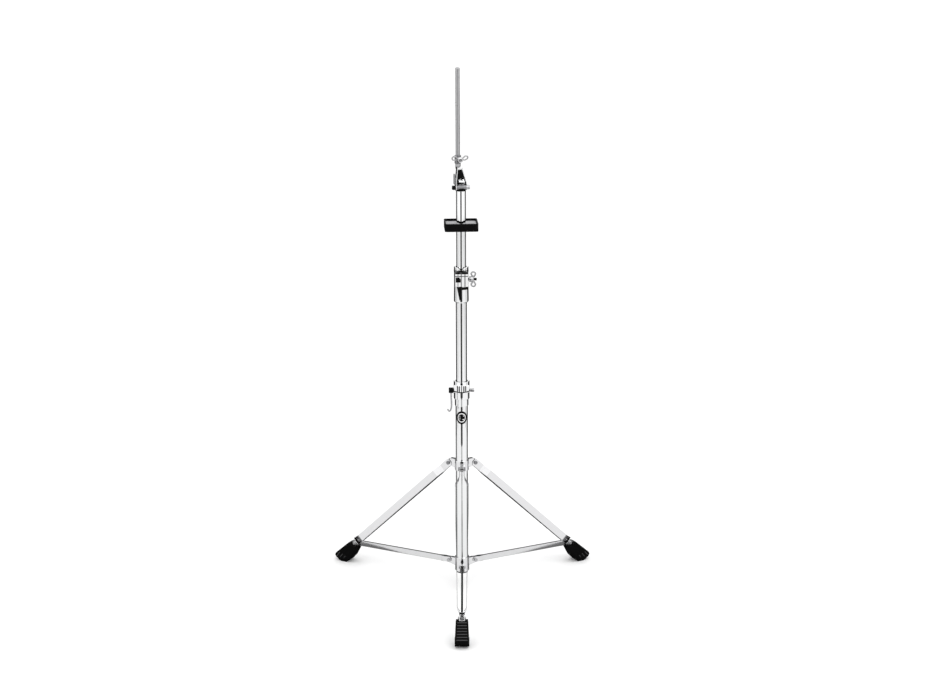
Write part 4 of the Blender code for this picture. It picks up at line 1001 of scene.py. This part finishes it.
def make_rubber_foot(leg, at, body, foot, pivot_at):
    """Boot with a flat sole, a stepped toe, seven cross ribs on its back and three ribs on each side."""
    bolt_r = math.hypot(foot.x - AXIS.x, foot.y - AXIS.y)
    pivot_r = math.hypot(pivot_at.x - AXIS.x, pivot_at.y - AXIS.y)
    lean = math.atan2(bolt_r - pivot_r, pivot_at.z - foot.z)

    def point(r, z):
        dr, dz = r * MM - bolt_r, z * MM - foot.z
        return (dr * math.cos(lean) + dz * math.sin(lean), -dr * math.sin(lean) + dz * math.cos(lean))

    sole = [point(r, z) for r, z in [(352.0, 13.0), (347.5, 7.2), (345.0, 6.8), (341.5, 2.8), (339.0, 2.4),
                                     (335.0, 0.0), (319.5, 0.0), (305.0, 16.0)]]
    outline = mm((-12.6, 2.6), (-9.2, 3.0), (-7.0, -4.7), (-2.0, -7.6),
               (8.4, -8.7), (9.8, -10.2), (11.4, -58.6)) + sole
    wide, narrow, length = 32.5 * MM, 27 * MM, 67 * MM

    def taper(co):
        share = min(1.0, max(0.0, -co.z / length))
        return Vector((co.x, co.y * (narrow + (wide - narrow) * share) / wide, co.z))

    boot = prism(outline, "Y", -wide / 2, wide / 2, 1.3 * MM, 3, shape=taper)
    half = 6.4 * MM
    boot = carve(boot, [block((-6.8 * MM, -half, -16.3 * MM), (6.8 * MM, half, 20 * MM)),
                        block(*mm((-20, -3.6, -6), (-6, 3.6, 20)))])
    finish_piece(boot, f"rubber_foot_{leg}_fine", at, "rubber", body, [f"rubber_foot_{leg}"], weighted=True)
    ribs = bmesh.new()
    for k in range(7):
        z = (-14.0 - 6.9 * k) * MM
        x = 9.8 * MM + 1.6 * MM * (-z - 10.2 * MM) / (48.4 * MM)
        y = (9.4 + 0.30 * k) * MM
        path = smooth_path([(x - 0.6 * MM, -y - 0.5 * MM, z), (x - 0.15 * MM, -y + 0.5 * MM, z), (x, 0, z),
                            (x - 0.15 * MM, y - 0.5 * MM, z), (x - 0.6 * MM, y + 0.5 * MM, z)], 3)
        swept(path, 0.95 * MM, 10, False, ribs)
    for side in (-1, 1):
        for k in range(3):
            from_bolt = 30 * MM + 8.5 * k * MM
            low = Vector(point(330 + 8.0 * k, 6.0 + 3.2 * k))
            high = Vector(point(322 + 8.0 * k, 16.0 + 3.4 * k))
            y = side * (13.5 * MM + 2.7 * MM * min(1, from_bolt / length))
            swept([(low.x, y, low.y), (high.x, y, high.y)], 0.8 * MM, 10, False, ribs)
    # The ribs' lighter grey rubber is a painted highlight.
    finish_piece(ribs, f"rubber_foot_{leg}_ribs", at, "rib_highlight_rubber", body)


def make_brace(leg, brace_in, foot, across):
    """A slim channel from the lower collar to the foot bolt, with a dark strip of painted shade in its open
    side.
    """
    at = along(brace_in, foot, across)
    end = (foot - brace_in).length
    a, b, wide, slim, tip, crown = -7 * MM, 7 * MM, 5.25 * MM, 2.4 * MM, 3.0 * MM, 0.6 * MM
    stations = [(-6.6 * MM, wide, -3.0 * MM, 3.4 * MM, crown, False), (-2.6 * MM, wide, a, b, crown, False),
                (14 * MM, wide, a, b, crown, True), (26 * MM, slim, a, b, crown, True),
                (end - 25 * MM, slim, a, b, crown, True),
                (end - 15 * MM, tip, a, b, crown, True), (end + 2.6 * MM, tip, a, b, crown, True),
                (end + 6.8 * MM, tip, -3.2 * MM, 3.2 * MM, crown, True)]
    finish_piece(channel(smooth_stations(stations), 0.9 * MM, crown_steps=6), f"brace_{leg}_fine", at,
                 "brace_chrome",
                 f"{leg}_brace", [f"brace_{leg}"], recalc=False)
    # A dark strip of painted shade along the channel's open side.
    painted_shade = prism([(-wide + 0.2 * MM, 9 * MM), (wide - 0.2 * MM, 9 * MM), (slim - 0.1 * MM, 26 * MM),
                  (slim - 0.1 * MM, end - 14 * MM), (0.1 * MM - slim, end - 14 * MM),
                  (0.1 * MM - slim, 26 * MM)],
                 "X", a - 0.05 * MM, a + 1.2 * MM, 0.1 * MM, 1)
    finish_piece(painted_shade, f"brace_{leg}_slot", at, "dark_steel", f"{leg}_brace")
    finish_piece(headed(7.8 * MM, 4.4 * MM, 2.2 * MM), f"brace_pin_{leg}_fine",
                 turned(brace_in, LEGS[leg]) @ Y_AXIS, "steel", "base", [f"brace_pin_{leg}"])


def make_collar(node, body, lug_half, above, below, pins):
    """A filleted hub with three rounded lugs; pins are the centres of the three pivots."""
    low, high = heights(node)
    bore, hub_r, reach = radius_of("base_tube") + CLEARANCE, 16.6 * MM, 33.5 * MM
    pivot_z = pins["front"].z
    collar = lathed(fillet([(bore, low), (hub_r, low), (hub_r, high), (bore, high)], 0.9 * MM, 3), 96)
    tops = bmesh.new()
    for leg, azimuth in LEGS.items():
        inner = hub_r - reach - 0.9 * MM
        outline = fillet([(inner, above), (-5 * MM, above)] + arc(7 * MM, 75, -80, 10) + [(inner, below)],
                         1.6 * MM, 3,
                         skip=tuple(range(2, 13)))
        spoke = turned(Vector((0, 0, pivot_z)), azimuth) @ Matrix.Translation((reach, 0, 0))
        prism(outline, "Y", -lug_half, lug_half, 0.5 * MM, 3, collar, spoke)
        block((inner + 1.2 * MM, 0.5 * MM - lug_half, above - 0.4 * MM),
              (-5 * MM, lug_half - 0.5 * MM, above + 0.3 * MM),
              0.1 * MM, 1, tops, spoke)
    finish_piece(tops, f"{node}_lug_tops", COLUMN, "dark_steel", body)
    finish_piece(collar, f"{node}_fine", COLUMN, "leg_chrome", body, [node], weighted=True)


def make_collars():
    make_collar("lower_leg_collar", "base", 3.7 * MM, 8 * MM, -11 * MM,
                {leg: centre(f"brace_pin_{leg}") for leg in LEGS})
    make_collar("upper_leg_collar", "leg_slider", 4.2 * MM, 11.5 * MM, -9.5 * MM,
                {leg: centre(f"leg_pivot_pin_{leg}_a", f"leg_pivot_pin_{leg}_b") for leg in LEGS})
    low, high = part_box("leg_lock_screw")
    middle = (low + high) / 2 - AXIS
    screw = rod_between((0, 16.8 * MM, middle.z), (0, 23.5 * MM, middle.z), 3.2 * MM, 32, rim=0.5 * MM)
    block((-2.5 * MM, 22 * MM, middle.z - 2.5 * MM), (2.5 * MM, 30 * MM, middle.z + 2.5 * MM), 0.8 * MM, 3,
          screw)
    finish_piece(screw, "leg_lock_screw_fine", COLUMN, "steel", "leg_slider", ["leg_lock_screw"],
                 weighted=True)


for leg_name in LEGS:
    make_leg(leg_name)
make_collars()


# ---------------------------------------------------------------- studio

def make_studio():
    """A plain pale floor, an even white surround and one large soft light."""
    floor_mesh = bpy.data.meshes.new("floor")
    bm = bmesh.new()
    bmesh.ops.create_grid(bm, x_segments=1, y_segments=1, size=9.0)
    bm.to_mesh(floor_mesh)
    bm.free()
    floor = linked("floor", floor_mesh)
    floor_mesh.materials.append(node_material("pale_floor", (0.93, 0.93, 0.93), 0.9, 0.0, 0.05, 3.0, 0.01,
                                              200.0))

    world = bpy.data.worlds.new("studio")
    bpy.context.scene.world = world
    world.use_nodes = True
    world.node_tree.nodes["Background"].inputs["Color"].default_value = (1, 1, 1, 1)
    world.node_tree.nodes["Background"].inputs["Strength"].default_value = 1.12

    light = bpy.data.lights.new("overhead_softbox", "AREA")
    light.shape = "RECTANGLE"
    light.size, light.size_y, light.energy = 3.0, 3.0, 30.0
    lamp = linked("overhead_softbox", light)
    lamp.location = (0.8, -1.2, 3.4)
    lamp.rotation_euler = (Vector((0.0, 0.0, 0.6)) - lamp.location).to_track_quat("-Z", "Y").to_euler()


def card(name, corners, tone=0.02):
    """A flat card that only mirrors see; tone is how light its cloth is."""
    mesh = bpy.data.meshes.new(name)
    mesh.from_pydata(corners, [], [tuple(range(len(corners)))])
    mesh.materials.append(node_material(f"{name}_cloth", (tone, tone, tone), 0.9, 0.0, 0.05, 5.0, 0.02,
                                        200.0))
    obj = linked(name, mesh)
    obj.visible_camera = False
    obj.visible_diffuse = False
    obj.visible_shadow = False


def floor_fan(name, azimuth, half, near, far, tone):
    """A wedge just above the floor, seen from the column between azimuth - half and azimuth + half."""
    lift = 0.004
    fan = []
    for r, side in ((near, -1), (near, 1), (far, 1), (far, -1)):
        a = math.radians(azimuth + side * half)
        fan.append((AXIS.x + r * math.cos(a), AXIS.y + r * math.sin(a), lift))
    card(name, fan, tone)


def standing_flag(name, azimuth, half, r, low, high, tone):
    """An upright card facing the column."""
    left, right = (math.radians(azimuth + side * half) for side in (-1, 1))
    corners = [(AXIS.x + r * math.cos(a), AXIS.y + r * math.sin(a), z)
               for a, z in ((left, low), (right, low), (right, high), (left, high))]
    card(name, corners, tone)


def make_flags():
    """Cards round the stand that only mirrors see: the chrome takes its grey and dark bands from them."""
    card("floor_sheet", [(-8.5, -8.5, 0.002), (8.5, -8.5, 0.002), (8.5, 8.5, 0.002), (-8.5, 8.5, 0.002)],
         0.74)
    floor_fan("front_fan", -90, 9, 0.55, 1.5, 0.30)
    floor_fan("near_fan", -90, 11, 0.06, 0.55, 0.30)
    standing_flag("front_flag", -90, 16, 1.5, 0.004, 1.5, 0.02)
    for side in (-1, 1):
        rear = 90 + side * 41
        floor_fan(f"rear_fan_{side}", rear, 37, 0.08, 1.6, 0.12)
        standing_flag(f"rear_flag_{side}", rear, 37, 1.6, 0.004, 1.5, 0.03)
        standing_flag(f"side_flag_{side}", -90 + side * 78, 4, 1.8, 0.004, 1.4, 0.30)
    card("ceiling_flag", [(-0.24, -2.6, 2.9), (0.24, -2.6, 2.9), (0.24, 0.4, 2.9), (-0.24, 0.4, 2.9)], 0.25)


def make_camera():
    """The camera at the photograph's angle, from a fit."""
    sideways, distance, height = 11.5 * MM, 3.9574, 1.7015
    tilt_degrees, roll_degrees = 74.19, -0.15
    data = bpy.data.cameras.new("camera")
    data.lens = 69.45
    data.sensor_width = 36.0
    camera = linked("camera", data)
    camera.location = (AXIS.x + sideways, AXIS.y - distance, height)
    tilt = Matrix.Rotation(math.radians(tilt_degrees), 3, "X")
    roll = Matrix.Rotation(math.radians(roll_degrees), 3, "Z")
    camera.rotation_euler = (tilt @ roll).to_euler()
    bpy.context.scene.camera = camera


make_studio()
make_flags()
make_camera()
bpy.context.scene.view_settings.view_transform = "Standard"
